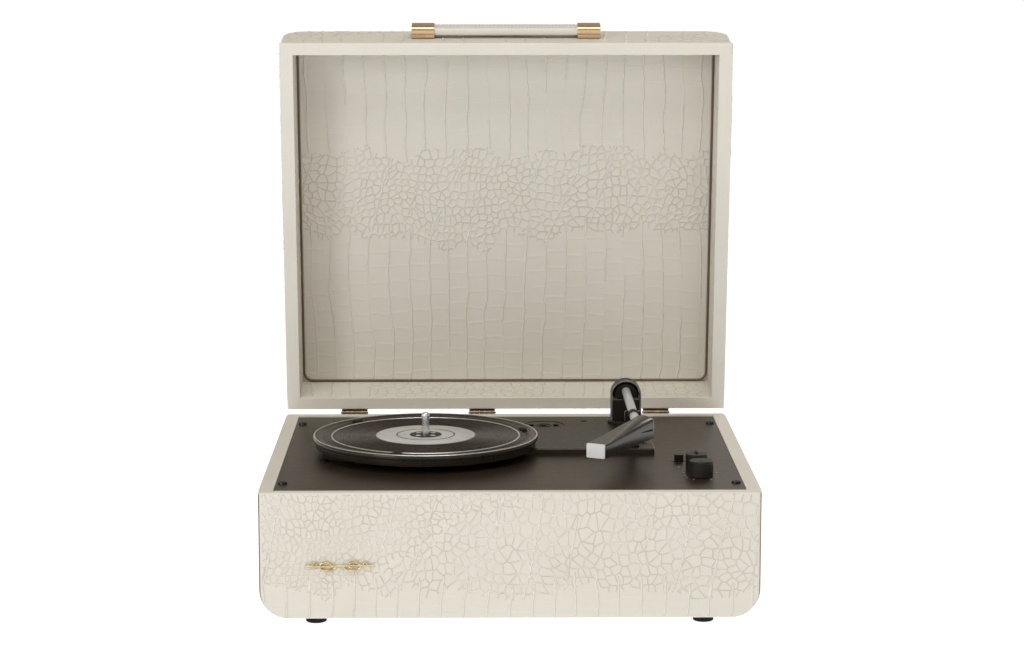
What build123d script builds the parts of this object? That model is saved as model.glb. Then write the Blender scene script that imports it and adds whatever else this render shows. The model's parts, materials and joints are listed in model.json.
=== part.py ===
from build123d import *
import os
from math import atan2, cos, degrees, hypot, radians, sin, sqrt

os.makedirs("parts", exist_ok=True)

# ---------------------------------------------------------------------------
# Driving dimensions, in millimetres. Case coordinates are used for base and
# lid alike: x to the right, y from the front face backwards and z from the
# rim plane where base and lid meet (the base is below it, the lid above it).
# ---------------------------------------------------------------------------

case_width = 420
case_depth = 357
base_height = 110
lid_height = 62
corner_radius = 25
side_wall = 13
base_floor = 9
lid_roof = 8
lid_inner_radius = 1.5
board_reveal = 2
base_front_thickness = 8.5
base_rear_thickness = 9
lid_board = 12
foot_height = 6
foot_radius = 8.8
foot_inset = 25
foot_spread = 163
badge_thickness = 1.2

# The lid turns about an axis just behind the rear faces, level with the rim.
hinge_offset = 2.2
hinge_y = case_depth + hinge_offset
lid_angle = 81.9
knuckle_radius = 2.1
hinge_pin_radius = 1.0
hinge_length = 24.6
hinge_leaf = 1.4
hinge_centres = (-144.8, -22.8, 143.7)

# Deck and mechanism heights, above the rim plane.
deck_top = -1
deck_thickness = 2
plate_top = 4.5
plate_skin = 2.5

spindle_x = -73.2
spindle_y = 173
spindle_radius = 3.55
spindle_top = 35.3
platter_radius = 99.7
platter_top = 15.8
platter_lip = 4.8
platter_skirt_radius = 97.5
platter_bottom = 5.2
platter_face = 14.4
platter_thickness = 2.4
drum_radius = 48
label_radius = 44

motor_x = -135
motor_y = 210
motor_radius = 16
motor_height = 22
pulley_radius = 5
belt_thickness = 0.8
belt_height = 4
belt_gap = 0.15

adapter_x = 34
adapter_y = 271
adapter_radius = 19

arm_x = 110.5
arm_y = 282
arm_axis_z = 31.5
arm_shaft_radius = 4
arm_flange_radius = 17
hood_width = 28
hood_depth = 15
hood_wall = 1.5
hood_block_top = 27.3
tube_radius = 4
tube_start = (110.5, 275.4, 35.0)
tube_end = (111.3, 131.0, 34.0)
rest_y = 168

heel = (118.5, 134.0)
tip = (73.3, 52.0)
heel_width = 21
tip_width = 17
heel_top = 38
tip_top = 30
heel_bottom = 19.5
tip_bottom = 17.6
stylus_low = 16.3

volume_x = 163.5
volume_y = 65
volume_knob_radius = 10.3
volume_knob_height = 14
selector_x = 161.5
selector_y = 90
selector_knob_radius = 9.5
selector_knob_height = 15
speed_x = 149
speed_y = 128
speed_travel = 4
control_shaft_radius = 3
running_gap = 0.05
part_gap = 0.3

speaker_x = 125
speaker_z = -62
speaker_radius = 37
panel_width = 116
panel_height = 30
panel_z = -60

handle_half = 66.5
cap_length = 21
cap_proud = 11
handle_z = 31
strap_width = 20

# ---------------------------------------------------------------------------
# Frames. The floor is at height 0 and the origin is below the middle of the
# whole object with its lid open.
# ---------------------------------------------------------------------------

opening = radians(lid_angle)
lid_reach = (lid_height - board_reveal) * sin(opening) - hinge_offset * cos(opening)
rear_reach = hinge_y + lid_reach
origin_y = (rear_reach - badge_thickness) / 2
rim_z = foot_height + base_height

case = Plane(origin=(0, -origin_y, rim_z))
lid_up = Vector(0, sin(opening), cos(opening))
lid_back = Vector(0, cos(opening), -sin(opening))
hinge_point = Vector(0, hinge_y - origin_y, rim_z)
lid = Plane(origin=hinge_point - lid_back * hinge_y, x_dir=(1, 0, 0), z_dir=lid_up)


def facing_front(frame, y):
    """The plane at depth y whose sketch axes are x and z; extruding goes to the front."""
    return Plane(
        origin=frame.from_local_coords(Vector(0, y, 0)), x_dir=frame.x_dir, z_dir=-frame.y_dir
    )


def facing_right(frame, x):
    """The plane at width x whose sketch axes are y and z; extruding goes to the right."""
    return Plane(
        origin=frame.from_local_coords(Vector(x, 0, 0)), x_dir=frame.y_dir, z_dir=frame.x_dir
    )


def along(start, end):
    """A plane at start whose normal points to end, both in case coordinates; its x axis is level."""
    first = case.from_local_coords(Vector(*start))
    last = case.from_local_coords(Vector(*end))
    normal = (last - first).normalized()
    level = Vector(0, 0, 1).cross(normal).normalized()
    return Plane(origin=first, x_dir=level, z_dir=normal)


def case_face(inset, depth, side):
    """A board's outline from the rim plane to its far edge; side is -1 for the base, 1 for the lid."""
    with Locations((0, side * (depth - inset) / 2)):
        Rectangle(case_width - 2 * inset, depth - inset)
    far_edge = 0 if side < 0 else -1
    fillet(vertices().group_by(Axis.Y)[far_edge], corner_radius - inset)


def case_hollow(depth, far_wall, side, inner_radius):
    """The room inside a bent shell, cut from its outline; its far corners are rounded."""
    reach = depth - far_wall
    with Locations((0, side * (reach / 2 - inner_radius))):
        RectangleRounded(
            case_width - 2 * side_wall, reach + 2 * inner_radius, inner_radius, mode=Mode.SUBTRACT
        )


deck_half_width = case_width / 2 - side_wall - part_gap
deck_front = base_front_thickness + part_gap
rail_thickness = 7
rail_height = 22
rear_inner = case_depth - base_rear_thickness
deck_rear = rear_inner - rail_thickness - part_gap
foot_places = [
    (x, y) for x in (-foot_spread, foot_spread) for y in (foot_inset, case_depth - foot_inset)
]
foot_screw_radius = 2
foot_screw_reach = 8
deck_screw_x = 191
deck_screw_places = [(x, y) for x in (-deck_screw_x, deck_screw_x) for y in (38, 305)]
deck_screw_radius = 1.75

# ---------------------------------------------------------------------------
# Base case
# ---------------------------------------------------------------------------

with BuildPart() as base_shell:
    with BuildSketch(facing_front(case, rear_inner)):
        case_face(0, base_height, -1)
        case_hollow(base_height, base_floor, -1, corner_radius - side_wall)
    extrude(amount=rear_inner - base_front_thickness)
    with BuildSketch(case.offset(-base_height)):
        with Locations(*foot_places):
            Circle(foot_screw_radius)
    extrude(amount=foot_screw_reach, mode=Mode.SUBTRACT)

magnet_radius = 3
magnet_height = 5
magnet_cover = 1
magnet_x = 120

with BuildPart() as base_front_board:
    with BuildSketch(facing_front(case, base_front_thickness)):
        case_face(board_reveal, base_height, -1)
    extrude(amount=base_front_thickness)
    with BuildSketch(case.offset(-magnet_cover)):
        with Locations(*[(x, base_front_thickness / 2) for x in (-magnet_x, magnet_x)]):
            Circle(magnet_radius)
    extrude(amount=-magnet_height, mode=Mode.SUBTRACT)

with BuildPart() as base_magnets:
    with BuildSketch(case.offset(-magnet_cover)):
        with Locations(*[(x, base_front_thickness / 2) for x in (-magnet_x, magnet_x)]):
            Circle(magnet_radius)
    extrude(amount=-magnet_height)

panel_hole_width = panel_width - 12
panel_hole_height = panel_height - 10
hinge_screw_radius = 1.4
hinge_screw_reach = 8
hinge_screw_z = 10
hinge_screw_x = 8
hinge_screw_columns = [x + s for x in hinge_centres for s in (-hinge_screw_x, hinge_screw_x)]

with BuildPart() as base_rear_board:
    with BuildSketch(facing_front(case, case_depth)):
        case_face(board_reveal, base_height, -1)
        with Locations((-speaker_x, speaker_z), (speaker_x, speaker_z)):
            Circle(speaker_radius - 4, mode=Mode.SUBTRACT)
        with Locations((0, panel_z)):
            Rectangle(panel_hole_width, panel_hole_height, mode=Mode.SUBTRACT)
    extrude(amount=base_rear_thickness)
    with BuildSketch(facing_front(case, case_depth)):
        with Locations(*[(x, -hinge_screw_z) for x in hinge_screw_columns]):
            Circle(hinge_screw_radius)
    extrude(amount=hinge_screw_reach, mode=Mode.SUBTRACT)

with BuildPart() as hinge_rail:
    with BuildSketch(facing_front(case, rear_inner)):
        with Locations((0, -rail_height / 2)):
            Rectangle(2 * deck_half_width, rail_height)
    extrude(amount=rail_thickness)

block_size = 23
block_height = 60
block_top = deck_top - deck_thickness
with BuildPart() as corner_blocks:
    with BuildSketch(case.offset(block_top)):
        block_x = deck_half_width - block_size / 2
        with Locations(*[(s * block_x, y) for s in (-1, 1) for y in (38, 305)]):
            Rectangle(block_size, block_size)
    extrude(amount=-block_height)
    with BuildSketch(case.offset(block_top)):
        with Locations(*deck_screw_places):
            Circle(deck_screw_radius)
    extrude(amount=-12, mode=Mode.SUBTRACT)

with BuildPart() as feet:
    with BuildSketch(case.offset(-base_height)):
        with Locations(*foot_places):
            Circle(foot_radius)
    extrude(amount=-foot_height)
    with BuildSketch(case.offset(-base_height)):
        with Locations(*foot_places):
            Circle(foot_screw_radius)
    extrude(amount=-3, mode=Mode.SUBTRACT)
    with BuildSketch(case.offset(-base_height - 3)):
        with Locations(*foot_places):
            Circle(4)
    extrude(amount=-3, mode=Mode.SUBTRACT)
    fillet(feet.faces().sort_by(Axis.Z)[:4].edges().filter_by(lambda e: e.radius > foot_radius - 1), 1.2)

with BuildPart() as foot_screws:
    with BuildSketch(case.offset(-base_height - 3)):
        with Locations(*foot_places):
            Circle(foot_screw_radius)
    extrude(amount=3 + foot_screw_reach)
    with BuildSketch(case.offset(-base_height - 3)):
        with Locations(*foot_places):
            Circle(3.6)
    extrude(amount=-2)

badge_x = -141.5
badge_z = -62.6
badge_length = 59
with BuildPart() as front_badge:
    with BuildSketch(facing_front(case, 0)):
        with Locations((badge_x, badge_z)):
            SlotOverall(badge_length, 2.2)
            Circle(4.6)
            with Locations((-16, 0), (16, 0)):
                Circle(2.4)
            Circle(2.6, mode=Mode.SUBTRACT)
    extrude(amount=badge_thickness)

# ---------------------------------------------------------------------------
# Deck plate and its screws
# ---------------------------------------------------------------------------

plate_left = -163
plate_right = 130
plate_front = 158.5
plate_rear = 297
plate_margin = 5

with BuildPart() as deck_plate:
    with BuildSketch(case.offset(deck_top)):
        with Locations((0, (deck_front + deck_rear) / 2)):
            Rectangle(2 * deck_half_width, deck_rear - deck_front)
        with Locations(((plate_left + plate_right) / 2, (plate_front + plate_rear) / 2)):
            Rectangle(
                plate_right - plate_left - 2 * plate_margin,
                plate_rear - plate_front - 2 * plate_margin,
                mode=Mode.SUBTRACT,
            )
        with Locations((volume_x, volume_y), (selector_x, selector_y)):
            Circle(4, mode=Mode.SUBTRACT)
        with Locations((speed_x, speed_y)):
            Rectangle(2 * speed_travel + 5, 3, mode=Mode.SUBTRACT)
        with Locations(*deck_screw_places):
            Circle(deck_screw_radius, mode=Mode.SUBTRACT)
    extrude(amount=-deck_thickness)

with BuildPart() as deck_screws:
    with BuildSketch(case.offset(deck_top)):
        with Locations(*deck_screw_places):
            Circle(deck_screw_radius)
    extrude(amount=-12)
    with BuildSketch(case.offset(deck_top)):
        with Locations(*deck_screw_places):
            Circle(4)
    extrude(amount=1.9, taper=18)
    with BuildSketch(case.offset(deck_top + 1.9)):
        with Locations(*deck_screw_places):
            Rectangle(4.2, 0.9)
            Rectangle(0.9, 4.2)
    extrude(amount=-1, mode=Mode.SUBTRACT)

# ---------------------------------------------------------------------------
# Mechanism plate: a shallow moulding that stands on the deck
# ---------------------------------------------------------------------------

plate_wall = 3
plate_screw_places = [(-152, 291), (121.8, 184), (-40, 165), (72, 291)]
mechanism_screw_radius = 1.5
bearing_radius = 8
pulley_hole_radius = 9

with BuildPart() as mechanism_plate:
    with BuildSketch(case.offset(deck_top)):
        with Locations(((plate_left + plate_right) / 2, (plate_front + plate_rear) / 2)):
            RectangleRounded(plate_right - plate_left, plate_rear - plate_front, 3)
        with Locations((-155.5, 150)):
            Rectangle(15, 22)
        with Locations((-141, 147)):
            Rectangle(18, 30)
        with Locations((-129, 142)):
            Rectangle(8, 42)
    extrude(amount=plate_top - deck_top)
    chamfer(mechanism_plate.faces().sort_by(Axis.Z)[-1].outer_wire().edges(), 0.9)
    with BuildSketch(case.offset(deck_top)):
        with Locations(((plate_left + plate_right) / 2, (plate_front + plate_rear) / 2)):
            RectangleRounded(
                plate_right - plate_left - 2 * plate_wall, plate_rear - plate_front - 2 * plate_wall, 2
            )
        with Locations((spindle_x, spindle_y)):
            Circle(bearing_radius + 6, mode=Mode.SUBTRACT)
        with Locations((motor_x, motor_y)):
            Circle(motor_radius + 3, mode=Mode.SUBTRACT)
        with Locations((adapter_x, adapter_y)):
            Circle(adapter_radius + 4.6, mode=Mode.SUBTRACT)
        with Locations((arm_x, arm_y)):
            Circle(13, mode=Mode.SUBTRACT)
        with Locations((arm_x, rest_y)):
            Rectangle(14, 14, mode=Mode.SUBTRACT)
        with Locations(*plate_screw_places):
            Circle(4.5, mode=Mode.SUBTRACT)
    extrude(amount=plate_top - plate_skin - deck_top, mode=Mode.SUBTRACT)
    with BuildSketch(case.offset(plate_top)):
        with Locations((adapter_x, adapter_y)):
            Circle(adapter_radius + 0.5)
    extrude(amount=-3.8, mode=Mode.SUBTRACT)
    with BuildSketch(case.offset(plate_top)):
        with Locations((spindle_x, spindle_y)):
            Circle(bearing_radius)
        with Locations((motor_x, motor_y)):
            Circle(pulley_hole_radius)
        with Locations((arm_x, arm_y)):
            Circle(arm_shaft_radius + 2)
        with Locations(*plate_screw_places):
            Circle(mechanism_screw_radius)
    extrude(amount=-(plate_top - deck_top), mode=Mode.SUBTRACT)

transit_screw = (-161.5, 132)
with BuildPart() as mechanism_screws:
    with BuildSketch(case.offset(plate_top)):
        with Locations(*plate_screw_places):
            Circle(mechanism_screw_radius)
    extrude(amount=-(plate_top - deck_top))
    with BuildSketch(case.offset(plate_top)):
        with Locations(*plate_screw_places):
            Circle(2.6)
    extrude(amount=0.6)
    with BuildSketch(case.offset(deck_top)):
        with Locations(transit_screw):
            Circle(3.6)
    extrude(amount=1.6)
    with BuildSketch(case.offset(deck_top + 1.6)):
        with Locations(transit_screw):
            Rectangle(5, 0.9)
    extrude(amount=-0.8, mode=Mode.SUBTRACT)

with BuildPart() as record_adapter:
    with BuildSketch(case.offset(plate_top - 3.8)):
        with Locations((adapter_x, adapter_y)):
            Circle(adapter_radius)
            Circle(spindle_radius + 0.1, mode=Mode.SUBTRACT)
    extrude(amount=3.4)
    with BuildSketch(case.offset(plate_top - 0.4)):
        with Locations((adapter_x, adapter_y)):
            with Locations((-11.5, 0), (11.5, 0)):
                SlotOverall(12, 5, rotation=90)
    extrude(amount=-2, mode=Mode.SUBTRACT)
    with BuildSketch(case.offset(plate_top - 0.4)):
        with Locations((adapter_x, adapter_y)):
            Circle(7.5)
            Circle(6.3, mode=Mode.SUBTRACT)
    extrude(amount=0.5)

# ---------------------------------------------------------------------------
# Platter, spindle and drive
# ---------------------------------------------------------------------------

spindle_frame = Plane(origin=case.from_local_coords(Vector(spindle_x, spindle_y, 0)))
platter_profile = Plane(origin=spindle_frame.origin, x_dir=(1, 0, 0), z_dir=(0, -1, 0))

with BuildPart() as platter:
    with BuildSketch(platter_profile):
        with BuildLine():
            Polyline(
                (spindle_radius, platter_face),
                (platter_radius - 5.2, platter_face),
                (platter_radius - 4.2, platter_top),
                (platter_radius - 0.8, platter_top),
                (platter_radius, platter_top - 0.9),
                (platter_radius, platter_top - platter_lip + 0.6),
                (platter_radius - 0.6, platter_top - platter_lip),
                (platter_skirt_radius, platter_top - platter_lip),
                (platter_skirt_radius, platter_bottom + 1),
                (platter_skirt_radius - 1, platter_bottom),
                (platter_skirt_radius - 3, platter_bottom),
                (platter_skirt_radius - 3, platter_face - platter_thickness),
                (drum_radius, platter_face - platter_thickness),
                (drum_radius, platter_bottom + 0.8),
                (drum_radius - 3, platter_bottom + 0.8),
                (drum_radius - 3, platter_face - platter_thickness),
                (12, platter_face - platter_thickness),
                (12, platter_bottom + 1.5),
                (spindle_radius, platter_bottom + 1.5),
                close=True,
            )
        make_face()
    revolve(axis=Axis(spindle_frame.origin, (0, 0, 1)))

label_thickness = 0.5
with BuildPart() as platter_label:
    with BuildSketch(case.offset(platter_face)):
        with Locations((spindle_x, spindle_y)):
            Circle(label_radius)
            Circle(spindle_radius + 0.2, mode=Mode.SUBTRACT)
    extrude(amount=label_thickness)

pad_circle = 0.9 * platter_radius
with BuildPart() as platter_pads:
    with BuildSketch(case.offset(platter_face)):
        with Locations((spindle_x, spindle_y)):
            with PolarLocations(pad_circle, 3, start_angle=15):
                Ellipse(3.4, 5.6)
    extrude(amount=1.2)

spindle_foot = -19
with BuildPart() as spindle:
    with BuildSketch(case.offset(spindle_foot)):
        with Locations((spindle_x, spindle_y)):
            Circle(spindle_radius)
    extrude(amount=spindle_top - spindle_foot)
    fillet(spindle.edges().filter_by(GeomType.CIRCLE).sort_by(Axis.Z)[-1], 3)

with BuildPart() as spindle_bearing:
    with BuildSketch(case.offset(plate_top)):
        with Locations((spindle_x, spindle_y)):
            Circle(bearing_radius)
            Circle(spindle_radius + running_gap, mode=Mode.SUBTRACT)
    extrude(amount=-24)
    with BuildSketch(case.offset(plate_top - 24)):
        with Locations((spindle_x, spindle_y)):
            Circle(bearing_radius)
    extrude(amount=-5)

motor_top = deck_top - 1
with BuildPart() as motor:
    with BuildSketch(case.offset(motor_top)):
        with Locations((motor_x, motor_y)):
            Circle(motor_radius)
            Circle(1 + running_gap, mode=Mode.SUBTRACT)
    extrude(amount=-motor_height)
    with BuildSketch(case.offset(motor_top)):
        with Locations((motor_x, motor_y)):
            Circle(4)
            Circle(1 + running_gap, mode=Mode.SUBTRACT)
    extrude(amount=1.5)
    with BuildSketch(case.offset(deck_top)):
        with Locations((motor_x, motor_y)):
            Circle(motor_radius + 3)
            Circle(motor_radius - 5, mode=Mode.SUBTRACT)
    extrude(amount=-1)

pulley_top = platter_face - platter_thickness - 0.6
belt_mid = (pulley_top + platter_bottom + 1) / 2
with BuildPart() as motor_pulley:
    with BuildSketch(case.offset(motor_top - motor_height + 2)):
        with Locations((motor_x, motor_y)):
            Circle(1)
    extrude(amount=pulley_top - motor_top + motor_height - 2)
    with BuildSketch(case.offset(belt_mid - belt_height / 2 - 0.2)):
        with Locations((motor_x, motor_y)):
            Circle(pulley_radius)
    extrude(amount=belt_height + 0.4)
    for z in (belt_mid - belt_height / 2 - 0.8, belt_mid + belt_height / 2 + 0.2):
        with BuildSketch(case.offset(z)):
            with Locations((motor_x, motor_y)):
                Circle(pulley_radius + 1.4)
        extrude(amount=0.6)


def belt_loop(extra):
    """The belt's line round the platter drum and the pulley, filled, with extra added all round."""
    big = drum_radius + belt_gap + extra
    small = pulley_radius + belt_gap + extra
    run = hypot(motor_x - spindle_x, motor_y - spindle_y)
    heading = degrees(atan2(motor_y - spindle_y, motor_x - spindle_x))
    lean = (big - small) / run
    rise = sqrt(1 - lean * lean)
    with Locations(Location((spindle_x, spindle_y), heading)):
        Circle(big)
        with Locations((run, 0)):
            Circle(small)
        Polygon(
            (big * lean, big * rise),
            (run + small * lean, small * rise),
            (run + small * lean, -small * rise),
            (big * lean, -big * rise),
            align=None,
        )


with BuildPart() as drive_belt:
    with BuildSketch(case.offset(belt_mid - belt_height / 2)):
        belt_loop(belt_thickness)
    extrude(amount=belt_height)
    with BuildSketch(case.offset(belt_mid - belt_height / 2)):
        belt_loop(0)
    extrude(amount=belt_height, mode=Mode.SUBTRACT)

# ---------------------------------------------------------------------------
# Tonearm: flange, swivelling hood, and the arm that tilts inside it
# ---------------------------------------------------------------------------

flange_top = 8.2
with BuildPart() as arm_flange:
    with BuildSketch(case.offset(plate_top)):
        with Locations((arm_x, arm_y)):
            Circle(arm_flange_radius)
            Circle(arm_shaft_radius + running_gap, mode=Mode.SUBTRACT)
    extrude(amount=flange_top - plate_top - 0.3)
    chamfer(arm_flange.faces().sort_by(Axis.Z)[-1].outer_wire().edges(), 1)
    with BuildSketch(case.offset(plate_top)):
        with Locations((arm_x, arm_y)):
            Circle(arm_shaft_radius + 2)
            Circle(arm_shaft_radius + running_gap, mode=Mode.SUBTRACT)
    extrude(amount=-16)

hood_radius = hood_width / 2
pin_radius = 1.5
hood_floor = flange_top + part_gap

with BuildPart() as arm_hood:
    with BuildSketch(facing_front(case, arm_y + hood_depth / 2)):
        with Locations((arm_x, arm_axis_z)):
            Circle(hood_radius)
        with Locations((arm_x, (arm_axis_z + hood_floor) / 2)):
            Rectangle(hood_width, arm_axis_z - hood_floor)
        with Locations((arm_x, arm_axis_z)):
            Circle(hood_radius - hood_wall, mode=Mode.SUBTRACT)
        with Locations((arm_x, (arm_axis_z + hood_block_top) / 2)):
            Rectangle(hood_width - 2 * hood_wall, arm_axis_z - hood_block_top, mode=Mode.SUBTRACT)
        with Locations((arm_x, hood_block_top / 2 + hood_floor / 2)):
            Rectangle(hood_width - 2 * hood_wall, hood_block_top - hood_floor)
    extrude(amount=hood_depth)
    with BuildSketch(case.offset(hood_floor)):
        with Locations((arm_x, arm_y)):
            Circle(arm_shaft_radius)
    extrude(amount=-(hood_floor - plate_top + 15))
    with BuildSketch(facing_right(case, arm_x - hood_radius)):
        with Locations((arm_y, arm_axis_z)):
            Circle(pin_radius)
    extrude(amount=hood_width, mode=Mode.SUBTRACT)

with BuildPart() as arm_pivot_pins:
    for start in (arm_x - hood_radius, arm_x + hood_radius - 5):
        with BuildSketch(facing_right(case, start)):
            with Locations((arm_y, arm_axis_z)):
                Circle(pin_radius)
        extrude(amount=5)

pivot_radius = hood_radius - hood_wall - part_gap
pivot_half = 6.6
with BuildPart() as arm_pivot_block:
    with Locations(case.from_local_coords(Vector(arm_x, arm_y, arm_axis_z))):
        Sphere(pivot_radius)
        Box(2 * pivot_radius, 2 * pivot_half, 2 * pivot_radius, mode=Mode.INTERSECT)
    with BuildSketch(case.offset(arm_axis_z - 2.6)):
        with Locations((arm_x, arm_y)):
            Rectangle(40, 40)
    extrude(amount=-20, mode=Mode.SUBTRACT)
    with BuildSketch(facing_right(case, arm_x - hood_radius)):
        with Locations((arm_y, arm_axis_z)):
            Circle(pin_radius + running_gap)
    extrude(amount=5.2, mode=Mode.SUBTRACT)
    with BuildSketch(facing_right(case, arm_x + hood_radius - 5.2)):
        with Locations((arm_y, arm_axis_z)):
            Circle(pin_radius + running_gap)
    extrude(amount=5.2, mode=Mode.SUBTRACT)

with BuildPart() as counterweight:
    with BuildSketch(facing_front(case, arm_y + 22)):
        with Locations((arm_x, arm_axis_z + 1)):
            Circle(8.5)
    extrude(amount=12)
    chamfer(counterweight.edges().filter_by(GeomType.CIRCLE), 0.8)
    with BuildSketch(facing_front(case, arm_y + 10.4)):
        with Locations((arm_x, arm_axis_z + 1)):
            Circle(3.5)
    extrude(amount=10.4 - pivot_half)

tube_length = (Vector(*tube_end) - Vector(*tube_start)).length
with BuildPart() as arm_tube:
    with BuildSketch(along(tube_start, tube_end)):
        Circle(tube_radius)
        Circle(tube_radius - 0.8, mode=Mode.SUBTRACT)
    extrude(amount=tube_length)


def shell_section(place, width, top, bottom, trim):
    """A cross-section of the headshell at a place along its line; trim shrinks it to the hollow's size."""
    middle = (top - trim + bottom) / 2
    front = (*tip, middle) if place == heel else (2 * tip[0] - heel[0], 2 * tip[1] - heel[1], middle)
    return along((*place, middle), front), width - 2 * trim, top - trim - bottom


shell_corner = 2
pocket_depth = 30
pocket_height = 11
nose_height = 24

with BuildPart() as headshell:
    for place, width, top, bottom in (
        (heel, heel_width, heel_top, heel_bottom),
        (tip, tip_width, tip_top, tip_bottom),
    ):
        plane, across, tall = shell_section(place, width, top, bottom, 0)
        with BuildSketch(plane):
            RectangleRounded(across, tall, shell_corner)
    loft()
    nose_start = (*tip, nose_height)
    nose_end = (2 * tip[0] - heel[0], 2 * tip[1] - heel[1], nose_height)
    nose = along(nose_start, nose_end)
    with BuildSketch(nose):
        with Locations((0, -1.8)):
            Rectangle(tip_width - 3, pocket_height)
    extrude(amount=-pocket_depth, mode=Mode.SUBTRACT)
    with BuildSketch(along(tube_start, tube_end)):
        Circle(tube_radius)
    extrude(amount=tube_length, mode=Mode.SUBTRACT)

cartridge_width = tip_width - 3.6
cartridge_height = 9
cartridge_length = 28
face_plate = 1.2
cantilever_drop = 6.6
cantilever_length = 12
with BuildPart() as cartridge:
    with BuildSketch(nose):
        with Locations((0, -1.1)):
            Rectangle(cartridge_width, cartridge_height)
    extrude(amount=-cartridge_length)
    with BuildSketch(nose):
        with Locations((0, -0.1)):
            RectangleRounded(tip_width, tip_top - tip_bottom - 0.2, 1)
    extrude(amount=face_plate)

with BuildPart() as stylus:
    with BuildSketch(nose.offset(-1)):
        with Locations((0, 0.5 - cantilever_drop)):
            Rectangle(5, 1)
    extrude(amount=-cantilever_length)
    needle = Plane(origin=nose.offset(-2.2).origin, x_dir=nose.x_dir, z_dir=(0, 0, -1))
    with BuildSketch(needle.offset(cantilever_drop)):
        Circle(0.6)
    extrude(amount=nose_height - cantilever_drop - stylus_low, taper=20)

rest_depth = 6
rest_post_height = 22
cradle_middle = 31.5
cradle_x = tube_start[0] + 0.6
cradle_bore_z = 34.4
cradle_mouth_z = 38.4

with BuildPart() as arm_rest:
    with BuildSketch(case.offset(plate_top)):
        with Locations((arm_x, rest_y)):
            RectangleRounded(12, 9, 1.5)
    extrude(amount=2)
    with BuildSketch(case.offset(plate_top)):
        with Locations((arm_x, rest_y)):
            RectangleRounded(8, rest_depth, 1)
    extrude(amount=rest_post_height)
    with BuildSketch(facing_front(case, rest_y + rest_depth / 2)):
        with Locations((arm_x, cradle_middle)):
            RectangleRounded(14, 11, 2)
        with Locations((cradle_x, cradle_bore_z)):
            Circle(tube_radius + part_gap, mode=Mode.SUBTRACT)
        with Locations((cradle_x, cradle_mouth_z)):
            Rectangle(2 * (tube_radius + part_gap), 8, mode=Mode.SUBTRACT)
    extrude(amount=rest_depth)

# ---------------------------------------------------------------------------
# Controls and electronics
# ---------------------------------------------------------------------------


def control(x, y, body_radius, body_height):
    """A rotary control under the deck with a threaded bush and a bored middle."""
    with BuildPart() as body:
        with BuildSketch(case.offset(deck_top - deck_thickness)):
            with Locations((x, y)):
                Circle(body_radius)
        extrude(amount=-body_height)
        with BuildSketch(case.offset(deck_top - deck_thickness)):
            with Locations((x, y)):
                Circle(3.9)
        extrude(amount=deck_thickness + 0.4)
        with BuildSketch(case.offset(deck_top + 0.4)):
            with Locations((x, y)):
                Circle(control_shaft_radius + running_gap)
        extrude(amount=-deck_thickness - 6, mode=Mode.SUBTRACT)
    return body


def knob(x, y, radius, height, grooves, mark):
    """A round knob with a chamfered top, a shaft socket, shallow grip grooves and a mark on top.

    The mark is its width, length, place behind the middle and height; a negative height sinks it.
    """
    mark_width, mark_length, mark_y, mark_height = mark
    with BuildPart() as grip:
        with BuildSketch(case.offset(deck_top + 0.8)):
            with Locations((x, y)):
                Circle(radius)
        extrude(amount=height - 0.8)
        chamfer(grip.faces().sort_by(Axis.Z)[-1].edges(), 0.7)
        with BuildSketch(case.offset(deck_top + 0.8)):
            with Locations((x, y)):
                Circle(control_shaft_radius)
        extrude(amount=9, mode=Mode.SUBTRACT)
        with BuildSketch(case.offset(deck_top + 2.5)):
            with Locations((x, y)):
                with PolarLocations(radius, grooves):
                    Rectangle(0.6, 0.8)
        extrude(amount=height - 5, mode=Mode.SUBTRACT)
        with BuildSketch(case.offset(deck_top + height)):
            with Locations((x, y + mark_y)):
                Rectangle(mark_width, mark_length)
        extrude(amount=mark_height, mode=Mode.ADD if mark_height > 0 else Mode.SUBTRACT)
    return grip


def shaft(x, y):
    """A control shaft from inside its control to the knob's socket."""
    with BuildPart() as rod:
        with BuildSketch(case.offset(deck_top + 9.8)):
            with Locations((x, y)):
                Circle(control_shaft_radius)
        extrude(amount=-9.8 - deck_thickness - 5)
    return rod


volume_pot = control(volume_x, volume_y, 9, 9)
volume_shaft = shaft(volume_x, volume_y)
volume_knob = knob(volume_x, volume_y, volume_knob_radius, volume_knob_height, 36, (1, 6, -6, -0.5))

selector_switch = control(selector_x, selector_y, 8, 9)
selector_shaft = shaft(selector_x, selector_y)
selector_knob = knob(
    selector_x, selector_y, selector_knob_radius, selector_knob_height, 32, (2, 11, 3, 1.6)
)

with BuildPart() as speed_switch:
    with BuildSketch(case.offset(deck_top - deck_thickness)):
        with Locations((speed_x, speed_y)):
            Rectangle(22, 9)
    extrude(amount=-8)
    with BuildSketch(case.offset(deck_top - deck_thickness)):
        with Locations((speed_x, speed_y)):
            Rectangle(2 * speed_travel + 5, 3)
    extrude(amount=-4, mode=Mode.SUBTRACT)

with BuildPart() as speed_lever:
    with BuildSketch(case.offset(deck_top + 0.3)):
        with Locations((speed_x, speed_y)):
            RectangleRounded(8, 5, 1)
    extrude(amount=6)
    with BuildSketch(case.offset(deck_top + 0.3)):
        with Locations((speed_x, speed_y)):
            Rectangle(4, 2.4)
    extrude(amount=-deck_thickness - 3.8)

with BuildPart() as main_board:
    with BuildSketch(case.offset(-20)):
        with Locations((148, 103)):
            Rectangle(66, 96)
    extrude(amount=-1.6)
    for x, y, wide, deep, tall in ((135, 68, 12, 12, 14), (166, 130, 18, 10, 9), (140, 110, 9, 20, 16)):
        with BuildSketch(case.offset(-21.6)):
            with Locations((x, y)):
                Rectangle(wide, deep)
        extrude(amount=-tall)

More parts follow.
